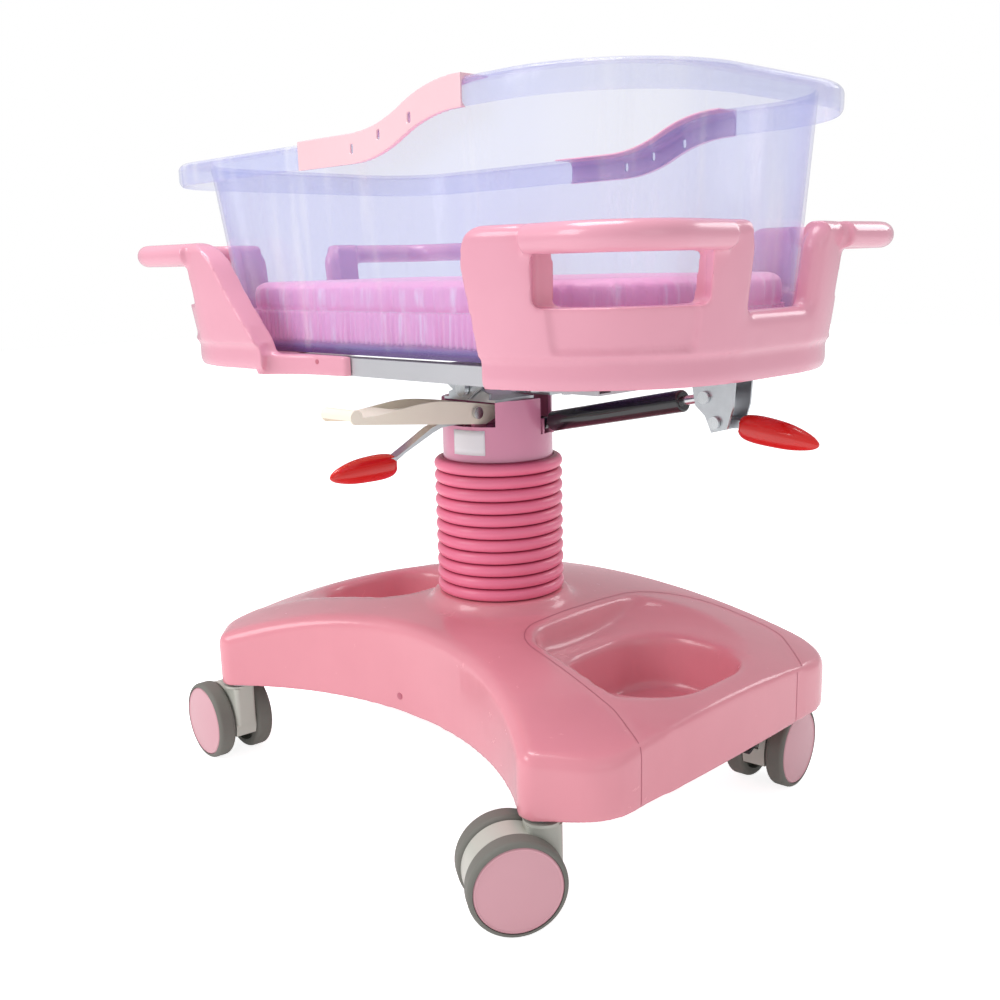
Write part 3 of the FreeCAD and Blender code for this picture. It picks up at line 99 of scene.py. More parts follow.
SEAM_STEP = 0.004    # spacing of its rows
COVER_FOOT = 0.106    # height where the parting lines end
PLATE_RADIUS = 0.0672    # blank plate on the column head
PLATE_Z = (0.4135, 0.4430)
PLATE_TURN = (-76, 18.5)   # middle and half width, in degrees
WALL_SCREW = (-0.028, 0.127)    # x, z on the base's near wall
TONGUE_SCREW = (-0.096, 0.528)    # x, z on the foot moulding's tongues
BELLOWS_RINGS = 11
BELLOWS_STEPS = 12    # places along one rib
BELLOWS_TURNS = 96
LENS = 40.24
CAMERA_PLACE = (0.96170, -0.95060, 0.63099)
CAMERA_LOOK = (-0.69555, 0.68844, -0.20557)
CAMERA_ROLL = -1.448    # degrees
LAMPS = (    # name, place, aim, size, power
    ("key", (-0.9, -2.5, 1.9), (0, 0, 0.45), 1.5, 31.0),
    ("top", (-0.3, -0.2, 2.8), (0, 0, 0.4), 1.3, 38.0),
    ("side", (2.6, -0.6, 1.1), (0, 0, 0.4), 1.2, 2.5),
    ("rim", (0.9, 2.6, 1.9), (0, 0, 0.5), 1.2, 16.0))
BASE_SEAM = ((0.424, -0.187, 0), (0.285, -0.126, 0.060), (0.100, -0.088, 0.062), (0.092, 0.214, 0.090),
             (0.268, 0.214, 0.066), (0.354, 0.134, 0), (0.424, 0.134, 0))       # x, y, corner radius


# ---- small helpers -----------------------------------------------------------------------

def paint(r, g, b):
    """Linear colour of an 8-bit display colour."""
    def lin(c):
        c /= 255
        return c / 12.92 if c <= 0.04045 else ((c + 0.055) / 1.055) ** 2.4
    return (lin(r), lin(g), lin(b), 1.0)


def colour_prop(name, description, rgb):
    """Setting for a colour, from an 8-bit display colour."""
    return FloatVectorProperty(name=name, description=description, default=paint(*rgb), size=4,
                               subtype="COLOR", min=0.0, max=1.0)


def length_prop(name, description, value):
    """Setting for a length in metres."""
    return FloatProperty(name=name, description=description, default=value, min=0.0,
                         unit="LENGTH", subtype="DISTANCE")


def new_piece(name, bm, smooth=True):
    """Object at the origin from a bmesh, with the faces pointing outwards."""
    bmesh.ops.remove_doubles(bm, verts=bm.verts, dist=MERGE)
    bmesh.ops.recalc_face_normals(bm, faces=bm.faces)
    for face in bm.faces:
        face.smooth = smooth
    mesh = bpy.data.meshes.new(name)
    bm.to_mesh(mesh)
    bm.free()
    obj = bpy.data.objects.new(name, mesh)
    bpy.context.scene.collection.objects.link(obj)
    return obj


def apply_modifiers(obj):
    """Bakes the live modifiers into the mesh."""
    graph = bpy.context.evaluated_depsgraph_get()
    baked = bpy.data.meshes.new_from_object(obj.evaluated_get(graph), depsgraph=graph)
    obj.modifiers.clear()
    old = obj.data
    obj.data = baked
    bpy.data.meshes.remove(old)
    return obj


def solid_copy(name, *nodes):
    """One merged copy of CAD nodes, as a new object."""
    bm = bmesh.new()
    for item in nodes:
        bm.from_mesh(NODES[item].data)
    return new_piece(name, bm)


def remesh(obj, voxel):
    """Even quads of one size over the whole piece."""
    modifier = obj.modifiers.new("even", "REMESH")
    modifier.mode = "VOXEL"
    modifier.voxel_size = voxel
    modifier.use_smooth_shade = True
    return apply_modifiers(obj)


def swell(obj, by):
    """Moves the whole surface outwards, or inwards where negative."""
    modifier = obj.modifiers.new("swell", "DISPLACE")
    modifier.strength = by
    modifier.mid_level = 0.0
    return apply_modifiers(obj)


def cut_boxes(obj, boxes):
    """Takes boxes of (low corner, high corner) out of a closed mesh."""
    bm = bmesh.new()
    for low, high in boxes:
        low, high = Vector(low), Vector(high)
        size = Matrix.Diagonal(high - low).to_4x4()
        bmesh.ops.create_cube(bm, size=1.0, matrix=Matrix.Translation((low + high) / 2) @ size)
    tool = new_piece("cutter", bm, False)
    modifier = obj.modifiers.new("cut", "BOOLEAN")
    modifier.operation = "DIFFERENCE"
    modifier.solver = "EXACT"
    modifier.object = tool
    apply_modifiers(obj)
    bpy.data.objects.remove(tool)
    return obj


def add_blocks(obj, blocks):
    """Adds six-sided blocks of (x, z, near y, far y) ends, each end with a foot and a top row."""
    bm = bmesh.new()
    bm.from_mesh(obj.data)
    for ends in blocks:
        for vert in bmesh.ops.create_cube(bm, size=2.0)["verts"]:
            foot, top = ends[0 if vert.co.x < 0 else 1]
            x, z, y0, y1 = foot if vert.co.z < 0 else top
            vert.co = (x, y0 if vert.co.y < 0 else y1, z)
    bm.to_mesh(obj.data)
    bm.free()
    return obj


def relax(obj, rounds, factor=0.5):
    """Rounds off every edge a little with each round."""
    bm = bmesh.new()
    bm.from_mesh(obj.data)
    for _ in range(rounds):
        bmesh.ops.smooth_vert(bm, verts=bm.verts, factor=factor,
                              use_axis_x=True, use_axis_y=True, use_axis_z=True)
    for face in bm.faces:
        face.smooth = True
    bm.to_mesh(obj.data)
    bm.free()
    return obj


def outline_at(name, z):
    """Ordered outline of a CAD node cut level at height z, counter-clockwise, without repeats."""
    bm = bmesh.new()
    bm.from_mesh(NODES[name].data)
    bmesh.ops.remove_doubles(bm, verts=bm.verts, dist=MERGE)
    cut = bmesh.ops.bisect_plane(bm, geom=bm.verts[:] + bm.edges[:] + bm.faces[:], plane_co=(0, 0, z),
                                 plane_no=(0, 0, 1))["geom_cut"]
    points = [v.co.to_2d() for v in cut if isinstance(v, bmesh.types.BMVert)]
    bm.free()
    middle = sum(points, Vector((0, 0))) / len(points)
    return sorted(points, key=lambda p: math.atan2((p - middle).y, (p - middle).x))


def even_loop(points, count):
    """The closed outline as evenly spaced (place, outward direction, distance run) entries."""
    closed = points + points[:1]
    runs = [0.0]
    for a, b in zip(closed, closed[1:]):
        runs.append(runs[-1] + (b - a).length)
    entries = []
    j = 0
    for i in range(count):
        run = runs[-1] * i / count
        while runs[j + 1] < run:
            j += 1
        span = max(runs[j + 1] - runs[j], 1e-9)
        spot = closed[j].lerp(closed[j + 1], (run - runs[j]) / span)
        way = (closed[j + 1] - closed[j]).normalized()
        entries.append((spot, Vector((way.y, -way.x)), run))
    smooth = []
    for i, (spot, out, run) in enumerate(entries):
        near = [entries[(i + k) % count][1] for k in range(-3, 4)]
        smooth.append((spot, sum(near, Vector((0, 0))).normalized(), run))
    return smooth, runs[-1]


def rounded_path(corners, step):
    """Points along an open line of (x, y, corner radius) entries, spaced by about step."""
    points = [Vector(corners[0][:2])]
    for before, corner, after in zip(corners, corners[1:], corners[2:]):
        here = Vector(corner[:2])
        back = (Vector(before[:2]) - here).normalized()
        on = (Vector(after[:2]) - here).normalized()
        half = back.angle(on) / 2
        reach = corner[2] / math.tan(half) if corner[2] else 0.0
        if not reach:
            points.append(here)
            continue
        middle = here + (back + on).normalized() * (corner[2] / math.sin(half))
        a = here + back * reach - middle
        b = here + on * reach - middle
        for k in range(9):
            points.append(middle + a.lerp(b, k / 8).normalized() * corner[2])
    points.append(Vector(corners[-1][:2]))
    line = []
    for a, b in zip(points, points[1:]):
        count = max(1, round((b - a).length / step))
        line += [a.lerp(b, k / count) for k in range(count)]
    return line + points[-1:]


def ribbon(name, rows, lift):
    """Narrow strip through rows of (left place, right place, outward direction)."""
    bm = bmesh.new()
    left = [bm.verts.new(a + out * lift) for a, b, out in rows]
    edges = [bm.edges.new(pair) for pair in zip(left, left[1:])]
    made = bmesh.ops.extrude_edge_only(bm, edges=edges)["geom"]
    fresh = [item for item in made if isinstance(item, bmesh.types.BMVert)]
    for vert in fresh:
        near = [edge.other_vert(vert) for edge in vert.link_edges]
        home = next(v for v in near if v not in fresh)
        a, b, out = rows[left.index(home)]
        vert.co = b + out * lift
    return new_piece(name, bm)


def button(name, place, facing, radius, height, rim):
    """Low round head with a rounded edge, standing on a surface."""
    bm = bmesh.new()
    turn = Vector((0, 0, 1)).rotation_difference(facing).to_matrix().to_4x4()
    bmesh.ops.create_cone(bm, cap_ends=True, segments=32, radius1=radius, radius2=radius, depth=2 * height,
                          matrix=Matrix.Translation(place) @ turn)
    tops = [e for e in bm.edges if all((v.co - place).dot(facing) > height * 0.9 for v in e.verts)]
    bmesh.ops.bevel(bm, geom=tops, offset=rim, segments=3, profile=0.5, affect="EDGES", material=-1)
    return new_piece(name, bm)


def gather(run, lap, pitch, seed):
    """Uneven gathers along a closed run, from -1 in the folds to 1 on the ridges."""
    turns = round(lap / pitch)
    angle = 2 * math.pi * run / lap
    ring = Vector((math.cos(angle), math.sin(angle), 0.0))
    shift = Vector((0, 0, seed))
    drift = noise.noise(ring * 9.0 + shift) * 2.4 + noise.noise(ring * 31.0 + shift) * 0.9
    size = 0.62 + 0.75 * noise.noise(ring * 14.0 + Vector((0, 0, seed + 5.0)))
    wave = math.sin(angle * turns + drift)
    fine = math.sin(angle * turns * 2.3 + 3.0 * drift)
    return max(-1.2, min(1.2, size * (wave + 0.28 * fine)))


def dress(obj, material):
    """Gives a new piece its one material."""
    obj.data.materials.clear()
    obj.data.materials.append(material)


def dress_node(name, material):
    """Gives a CAD node its finish through its object's own slots."""
    obj = NODES[name]
    if not obj.material_slots:
        obj.data.materials.append(None)
    for item in obj.material_slots:
        item.link = "OBJECT"
        item.material = material


# ---- shader effects ----------------------------------------------------------------------

EFFECTS = {}
FINISH = {}


def new_group(name, inputs, outputs):
    """Empty effect with its named sockets, and its two end nodes."""
    group = bpy.data.node_groups.new(name, "ShaderNodeTree")
    for label, kind, value in inputs:
        socket = group.interface.new_socket(name=label, in_out="INPUT", socket_type=kind)
        socket.default_value = value
    for label, kind in outputs:
        group.interface.new_socket(name=label, in_out="OUTPUT", socket_type=kind)
    source = group.nodes.new("NodeGroupInput")
    sink = group.nodes.new("NodeGroupOutput")
    return group, source, sink


def node(tree, kind, **values):
    """New node with its properties and socket values set; sockets are named by their label or number."""
    item = tree.nodes.new(kind)
    for key, value in values.items():
        if key.startswith("in_"):
            label = key[3:].replace("_", " ")
            socket = item.inputs[int(label)] if label.isdigit() else item.inputs[label]
            if isinstance(value, bpy.types.NodeSocket):
                tree.links.new(value, socket)
            else:
                socket.default_value = value
        else:
            setattr(item, key, value)
    return item


def effect(tree, key, **values):
    """Places a shared effect in a material, with its own values."""
    return node(tree, "ShaderNodeGroup", node_tree=EFFECTS[key], **values)


def ramp(tree, value, start, end):
    """Smooth step of a value from 0 at start to 1 at end."""
    item = node(tree, "ShaderNodeMapRange", interpolation_type="SMOOTHSTEP", in_Value=value,
                in_From_Min=start, in_From_Max=end)
    return item.outputs[0]


def maths(tree, operation, a, b=None, c=None):
    """One sum or product of sockets and numbers."""
    item = tree.nodes.new("ShaderNodeMath")
    item.operation = operation
    for socket, value in zip(item.inputs, (a, b, c)):
        if value is None:
            continue
        if isinstance(value, bpy.types.NodeSocket):
            tree.links.new(value, socket)
        else:
            socket.default_value = value
    return item.outputs[0]


def blend_colour(tree, factor, a, b):
    """Colour a where the factor is 0, and b where it is 1."""
    item = tree.nodes.new("ShaderNodeMix")
    item.data_type = "RGBA"
    for socket, value in ((item.inputs[0], factor), (item.inputs[6], a), (item.inputs[7], b)):
        if isinstance(value, bpy.types.NodeSocket):
            tree.links.new(value, socket)
        else:
            socket.default_value = value
    return item.outputs[2]


def moulded_group():
    """Moulded plastic: slow colour drift, handling marks in the gloss and fine orange peel."""
    group, source, sink = new_group("moulded_skin", [
        ("Colour", "NodeSocketColor", (1, 1, 1, 1)),
        ("Drift", "NodeSocketFloat", 0.05),
        ("Drift Scale", "NodeSocketFloat", 9.0),
        ("Roughness", "NodeSocketFloat", 0.3),
        ("Marks", "NodeSocketFloat", 0.08),
        ("Peel Scale", "NodeSocketFloat", 420.0)],
        [("Colour", "NodeSocketColor"), ("Roughness", "NodeSocketFloat"), ("Height", "NodeSocketFloat")])
    place = node(group, "ShaderNodeTexCoord").outputs["Object"]
    drift = node(group, "ShaderNodeTexNoise", in_Vector=place, in_Scale=source.outputs["Drift Scale"],
                 in_Detail=3.0, in_Roughness=0.55).outputs[0]
    swing = maths(group, "MULTIPLY", maths(group, "SUBTRACT", drift, 0.5), source.outputs["Drift"])
    gain = maths(group, "ADD", maths(group, "MULTIPLY", swing, 2.0), 1.0)
    bright = node(group, "ShaderNodeHueSaturation", in_Color=source.outputs["Colour"], in_Value=gain,
                  in_Saturation=maths(group, "SUBTRACT", 1.0, swing)).outputs[0]
    marks = node(group, "ShaderNodeTexNoise", in_Vector=place, in_Scale=38.0, in_Detail=6.0,
                 in_Roughness=0.7, in_Distortion=0.6).outputs[0]
    rough = maths(group, "MULTIPLY_ADD", maths(group, "SUBTRACT", marks, 0.5), source.outputs["Marks"],
                  source.outputs["Roughness"])
    peel = node(group, "ShaderNodeTexNoise", in_Vector=place, in_Scale=source.outputs["Peel Scale"],
                in_Detail=2.0).outputs[0]
    group.links.new(bright, sink.inputs["Colour"])
    group.links.new(rough, sink.inputs["Roughness"])
    group.links.new(peel, sink.inputs["Height"])
    return group


def drawn_group():
    """Drawn or brushed metal: fine lines along one axis and cloudy zinc."""
    group, source, sink = new_group("drawn_metal", [
        ("Colour", "NodeSocketColor", (1, 1, 1, 1)),
        ("Lines", "NodeSocketVector", (6.0, 600.0, 600.0)),
        ("Roughness", "NodeSocketFloat", 0.3),
        ("Cloud", "NodeSocketFloat", 0.1)],
        [("Colour", "NodeSocketColor"), ("Roughness", "NodeSocketFloat"), ("Height", "NodeSocketFloat")])
    place = node(group, "ShaderNodeTexCoord").outputs["Object"]
    stretch = node(group, "ShaderNodeVectorMath", operation="MULTIPLY", in_0=place,
                   in_1=source.outputs["Lines"])
    lines = node(group, "ShaderNodeTexNoise", in_Vector=stretch.outputs[0], in_Scale=1.0,
                 in_Detail=3.0).outputs[0]
    cloud = node(group, "ShaderNodeTexNoise", in_Vector=place, in_Scale=55.0, in_Detail=5.0,
                 in_Roughness=0.65).outputs[0]
    shade = maths(group, "MULTIPLY_ADD", maths(group, "SUBTRACT", cloud, 0.5), source.outputs["Cloud"], 1.0)
    tone = node(group, "ShaderNodeHueSaturation", in_Color=source.outputs["Colour"],
                in_Value=shade).outputs[0]
    rough = maths(group, "MULTIPLY_ADD", maths(group, "SUBTRACT", lines, 0.5), 0.25,
                  source.outputs["Roughness"])
    group.links.new(tone, sink.inputs["Colour"])
    group.links.new(rough, sink.inputs["Roughness"])
    group.links.new(lines, sink.inputs["Height"])
    return group


def woven_group():
    """Plain weave on three axes with slubs and a soft shade drift."""
    group, source, sink = new_group("woven_cover", [
        ("Colour", "NodeSocketColor", (1, 1, 1, 1)),
        ("Thread Scale", "NodeSocketFloat", 260.0),
        ("Slub", "NodeSocketFloat", 0.12)],
        [("Colour", "NodeSocketColor"), ("Height", "NodeSocketFloat")])
    place = node(group, "ShaderNodeTexCoord").outputs["Object"]
    wobble = node(group, "ShaderNodeTexNoise", in_Vector=place, in_Scale=30.0, in_Detail=2.0)
    bent = node(group, "ShaderNodeVectorMath", operation="MULTIPLY_ADD", in_0=wobble.outputs["Color"],
                in_1=(0.0012, 0.0012, 0.0012), in_2=place)
    waves = []
    for axis in ("X", "Y", "Z"):
        wave = node(group, "ShaderNodeTexWave", wave_type="BANDS", bands_direction=axis,
                    in_Vector=bent.outputs[0], in_Scale=source.outputs["Thread Scale"])
        waves.append(wave.outputs["Fac"])
    height = maths(group, "ADD", maths(group, "ADD", waves[0], waves[1]), waves[2])
    slub = node(group, "ShaderNodeTexNoise", in_Vector=place, in_Scale=70.0, in_Detail=6.0).outputs[0]
    shade = maths(group, "MULTIPLY_ADD", maths(group, "SUBTRACT", slub, 0.5), source.outputs["Slub"], 1.0)
    dent = maths(group, "MULTIPLY_ADD", height, 0.03, 0.955)
    tone = node(group, "ShaderNodeHueSaturation", in_Color=source.outputs["Colour"],
                in_Value=maths(group, "MULTIPLY", shade, dent)).outputs[0]
    group.links.new(tone, sink.inputs["Colour"])
    group.links.new(height, sink.inputs["Height"])
    return group


def new_material(name):
    """New material with its tree and its main shader."""
    material = bpy.data.materials.new(name)
    material.use_nodes = True
    tree = material.node_tree
    shader = tree.nodes["Principled BSDF"]
    return material, tree, shader


def set_plain(shader, values):
    """Sets the shader's own sockets to plain values."""
    for label, value in values.items():
        shader.inputs[label].default_value = value


def bump(tree, shader, height, strength, distance):
    """Lets a height stand out on the shader's surface."""
    item = tree.nodes.new("ShaderNodeBump")
    item.inputs["Strength"].default_value = strength
    item.inputs["Distance"].default_value = distance
    tree.links.new(height, item.inputs["Height"])
    tree.links.new(item.outputs["Normal"], shader.inputs["Normal"])


def moulded(name, colour, roughness=0.28, drift=0.05, marks=0.08, peel=(420.0, 0.08, 0.0004), **plain):
    """Plastic or paint with the moulded skin effect."""
    material, tree, shader = new_material(name)
    skin = effect(tree, "moulded", in_Colour=colour, in_Roughness=roughness, in_Drift=drift, in_Marks=marks,
                  in_Peel_Scale=peel[0])
    tree.links.new(skin.outputs["Colour"], shader.inputs["Base Color"])
    tree.links.new(skin.outputs["Roughness"], shader.inputs["Roughness"])
    bump(tree, shader, skin.outputs["Height"], peel[1], peel[2])
    set_plain(shader, {key.replace("_", " "): value for key, value in plain.items()})
    return material


def metal(name, colour, roughness=0.3, lines=(6.0, 600.0, 600.0), cloud=0.25, **plain):
    """Drawn, brushed or plated metal."""
    material, tree, shader = new_material(name)
    skin = effect(tree, "drawn", in_Colour=colour, in_Roughness=roughness, in_Lines=lines, in_Cloud=cloud)
    tree.links.new(skin.outputs["Colour"], shader.inputs["Base Color"])
    tree.links.new(skin.outputs["Roughness"], shader.inputs["Roughness"])
    bump(tree, shader, skin.outputs["Height"], 0.12, 0.0002)
    set_plain(shader, {"Metallic": 1.0})
    set_plain(shader, {key.replace("_", " "): value for key, value in plain.items()})
    return material


def cloth(name, colour, gleam, thread=260.0):
    """Woven cover with a painted pale highlight on its upright folds and a faint painted glow."""
    material, tree, shader = new_material(name)
    skin = effect(tree, "woven", in_Colour=colour, in_Thread_Scale=thread)
    # painted highlight: upright streaks pale the cover's colour towards the gleam on upright faces
    gloss = effect(tree, "streaked", in_Width=(75.0, 75.0, 9.0))
    facing = node(tree, "ShaderNodeSeparateXYZ", in_Vector=node(tree, "ShaderNodeTexCoord").outputs["Normal"])
    upright = maths(tree, "SUBTRACT", 0.75, maths(tree, "ABSOLUTE", facing.outputs["Z"]))
    painted_highlight = maths(tree, "MULTIPLY", gloss.outputs[0], maths(tree, "MAXIMUM", upright, 0.0))
    tone = blend_colour(tree, painted_highlight, skin.outputs["Colour"], gleam)
    tree.links.new(tone, shader.inputs["Base Color"])
    bump(tree, shader, skin.outputs["Height"], 0.25, 0.0004)
    # painted glow: a faint emission in the cover's own colour, though it is no lamp
    set_plain(shader, {"Roughness": 0.42, "Sheen Weight": 0.6, "Sheen Roughness": 0.4,
                       "Emission Color": colour, "Emission Strength": 0.14})
    return material


def streaked_group():
    """Upright streaks of painted highlight on clear sheet and cloth, as a factor."""
    group, source, sink = new_group("streaked_sheet", [
        ("Width", "NodeSocketVector", (34.0, 34.0, 2.2)),
        ("Amount", "NodeSocketFloat", 1.0)],
        [("Factor", "NodeSocketFloat")])
    place = node(group, "ShaderNodeTexCoord").outputs["Object"]
    stretch = node(group, "ShaderNodeVectorMath", operation="MULTIPLY", in_0=place,
                   in_1=source.outputs["Width"])
    bands = node(group, "ShaderNodeTexNoise", in_Vector=stretch.outputs[0], in_Scale=1.0, in_Detail=3.0,
                 in_Roughness=0.6).outputs[0]
    sharp = ramp(group, bands, 0.5, 0.72)
    group.links.new(maths(group, "MULTIPLY", sharp, source.outputs["Amount"]), sink.inputs["Factor"])
    return group


def clear_tint(name, colour, glare, base, floor, face_alpha, edge_alpha):
    """Clear plastic sheet: faint tint face on, denser edge on, with a painted white reflection edge on and
    along painted highlight streaks, and painted shade in a deeper violet along its floor, partly the tint of
    its thick floor edge.
    """
    material, tree, shader = new_material(name)
    skin = effect(tree, "moulded", in_Colour=colour, in_Roughness=0.07, in_Drift=0.02, in_Marks=0.05,
                  in_Peel_Scale=60.0)
    streak = effect(tree, "streaked")
    facing = node(tree, "ShaderNodeLayerWeight", in_Blend=0.5).outputs["Facing"]
    edge = maths(tree, "POWER", facing, 2.2)
    # painted reflection: the colour pales to the glare colour edge on and along the streaks
    painted_glare_mask = maths(tree, "MULTIPLY_ADD", edge, 0.75, maths(tree, "MULTIPLY", streak.outputs[0], 0.7))
    height = node(tree, "ShaderNodeSeparateXYZ", in_Vector=node(tree, "ShaderNodeTexCoord").outputs["Object"])
    # painted shade: darker, denser violet towards the tub's floor, partly the tint of its thick floor edge
    floor_shade = ramp(tree, height.outputs["Z"], floor + 0.014, floor + 0.003)
    tone = blend_colour(tree, painted_glare_mask, skin.outputs["Colour"], glare)
    tree.links.new(blend_colour(tree, floor_shade, tone, base), shader.inputs["Base Color"])
    tree.links.new(skin.outputs["Roughness"], shader.inputs["Roughness"])
    bump(tree, shader, skin.outputs["Height"], 0.05, 0.001)
    dense = maths(tree, "MULTIPLY_ADD", edge, edge_alpha - face_alpha, face_alpha)
    dense = maths(tree, "MULTIPLY_ADD", streak.outputs[0], 0.08, dense)
    tree.links.new(maths(tree, "MULTIPLY_ADD", floor_shade, 0.5, dense), shader.inputs["Alpha"])
    set_plain(shader, {"IOR": 1.49, "Specular IOR Level": 0.8})
    return material


def ribbed(name, deep, crest, inner, outer):
    """Rubber sleeve with painted shade in its folds, darker towards its axis."""
    material, tree, shader = new_material(name)
    place = node(tree, "ShaderNodeTexCoord").outputs["Object"]
    flat = node(tree, "ShaderNodeVectorMath", operation="MULTIPLY", in_0=place, in_1=(1.0, 1.0, 0.0))
    away = node(tree, "ShaderNodeVectorMath", operation="LENGTH", in_0=flat.outputs[0])
    # painted shade: deep rose in the valleys between the ribs, blending to the crest colour outwards
    shade_to_crest = ramp(tree, away.outputs["Value"], inner, outer)
    skin = effect(tree, "moulded", in_Colour=blend_colour(tree, shade_to_crest, deep, crest), in_Roughness=0.34,
                  in_Drift=0.07, in_Marks=0.12, in_Peel_Scale=900.0)
    tree.links.new(skin.outputs["Colour"], shader.inputs["Base Color"])
    tree.links.new(skin.outputs["Roughness"], shader.inputs["Roughness"])
    bump(tree, shader, skin.outputs["Height"], 0.15, 0.0003)
    return material


# ---- settings ----------------------------------------------------------------------------

class BassinetColours(bpy.types.PropertyGroup):
    """Colours of the moulded, painted and sewn pieces."""
    moulding: colour_prop("Mouldings", "Pink of the end mouldings", (236, 164, 183))
    cover: colour_prop("Base cover", "Pink of the base cover and its end panels", (235, 150, 163))
    column: colour_prop("Column", "Pink of the column head", (229, 152, 181))
    bellows: colour_prop("Bellows", "Rose of the ribbed sleeve", (246, 128, 160))
    # painted shade: deep rose laid between the ribs
    bellows_fold_shade: colour_prop("Bellows folds", "Deep rose between the ribs", (160, 40, 76))
    grips: colour_prop("Rim grips", "Pink of the clip-on rim grips", (250, 204, 211))
    tub: colour_prop("Tub", "Lavender tint of the clear tub", (144, 156, 234))
    # painted reflection: pale glare laid into the tub's colour
    glare: colour_prop("Tub glare", "Pale glare on the clear tub", (240, 242, 253))
    # painted shade along the tub's floor, partly the deeper tint of its thick floor edge
    tub_floor_shade: colour_prop("Tub floor", "Violet of the tub's thick floor edge", (112, 84, 150))
    mattress: colour_prop("Mattress", "Pink of the mattress cover", (250, 170, 206))
    # painted highlight colour on the cover's upright folds
    gleam: colour_prop("Mattress gleam", "Pale gleam on the cover's folds", (255, 240, 247))
    paddle: colour_prop("Paddle", "Cream of the height paddle", (250, 243, 224))
    levers: colour_prop("Levers", "Red of the release grips", (224, 24, 16))
    hoods: colour_prop("Caster hoods", "Cream of the caster hoods", (194, 194, 184))
    tyres: colour_prop("Tyres", "Grey of the caster tyres", (116, 115, 108))
    caps: colour_prop("Wheel caps", "Pink of the wheel caps", (218, 162, 172))


class BassinetSizes(bpy.types.PropertyGroup):
    """Sizes of the sewn and ribbed pieces."""
    mattress_swell: length_prop("Mattress swell", "Most that the pad may bulge past its pattern", 0.003)
    seam_drop: length_prop("Seam drop", "Depth of the mattress seam under the top", 0.034)
    skirt_lift: length_prop("Skirt lift", "Height of the skirt's hem over the tub's floor", 0.008)
    pleat: length_prop("Pleat", "Mean pitch of the skirt's gathers", 0.0088)
    stitch: length_prop("Stitch", "Pitch of the seam's stitches", 0.0048)
    rib_depth: length_prop("Rib depth", "Depth of the bellows between two ribs", 0.0085)
    rib_wall: length_prop("Bellows wall", "Wall of the ribbed sleeve", 0.0015)
    cuff: length_prop("Bellows cuff", "How far the sleeve reaches over the column head's flange", 0.0045)


# ---- operators ---------------------------------------------------------------------------

class BASSINET_OT_finishes(bpy.types.Operator):
    """Makes every finish of the bassinet"""
    bl_idname = "bassinet.finishes"
    bl_label = "Make finishes"

    def execute(self, context):
        tint = context.scene.bassinet_colours
        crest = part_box("bellows")[1][0]
        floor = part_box("tub")[0][2]
        EFFECTS.update(moulded=moulded_group(), drawn=drawn_group(), woven=woven_group(),
                       streaked=streaked_group())
        FINISH.update(
            moulding=moulded("moulding_pink", tint.moulding, 0.24, Coat_Weight=0.3),
            cover=moulded("cover_pink", tint.cover, 0.26, Coat_Weight=0.3),
            column=moulded("column_pink", tint.column, 0.22, Coat_Weight=0.4),
            bellows=ribbed("bellows_rose", tint.bellows_fold_shade, tint.bellows, crest - 0.0075, crest - 0.001),
            grips=moulded("grip_pink", tint.grips, 0.22, Coat_Weight=0.4),
            paddle=moulded("paddle_cream", tint.paddle, 0.34, 0.06),
            levers=moulded("lever_red", tint.levers, 0.25, 0.05, Coat_Weight=0.5),
            hoods=moulded("hood_cream", tint.hoods, 0.3, 0.05),
            tyres=moulded("tyre_grey", tint.tyres, 0.62, 0.12, 0.2, (700.0, 0.35, 0.0004)),
            caps=moulded("cap_pink", tint.caps, 0.26, 0.05),
            pedal=moulded("pedal_black", paint(40, 40, 42), 0.55, 0.1),
            bush=moulded("bush_white", paint(225, 224, 215), 0.5),
            black=moulded("cylinder_black", paint(26, 26, 30), 0.2, 0.04, Coat_Weight=0.6),
            silver=moulded("frame_silver", paint(204, 204, 208), 0.38, 0.06, Metallic=0.55),
            zinc=metal("zinc", paint(205, 209, 212), 0.34),
            steel=metal("bright_steel", paint(214, 216, 218), 0.22, (600.0, 600.0, 8.0), 0.1),
            tub=clear_tint("tub_clear", tint.tub, tint.glare, tint.tub_floor_shade, floor, 0.115, 0.5),
            seam=moulded("seam_rose", paint(196, 108, 126), 0.5),
            plate=moulded("plate_white", paint(244, 243, 246), 0.45, 0.03),
            thread=moulded("thread_white", paint(250, 226, 236), 0.7),
            mattress=cloth("mattress_pink", tint.mattress, tint.gleam))
        return {"FINISHED"}


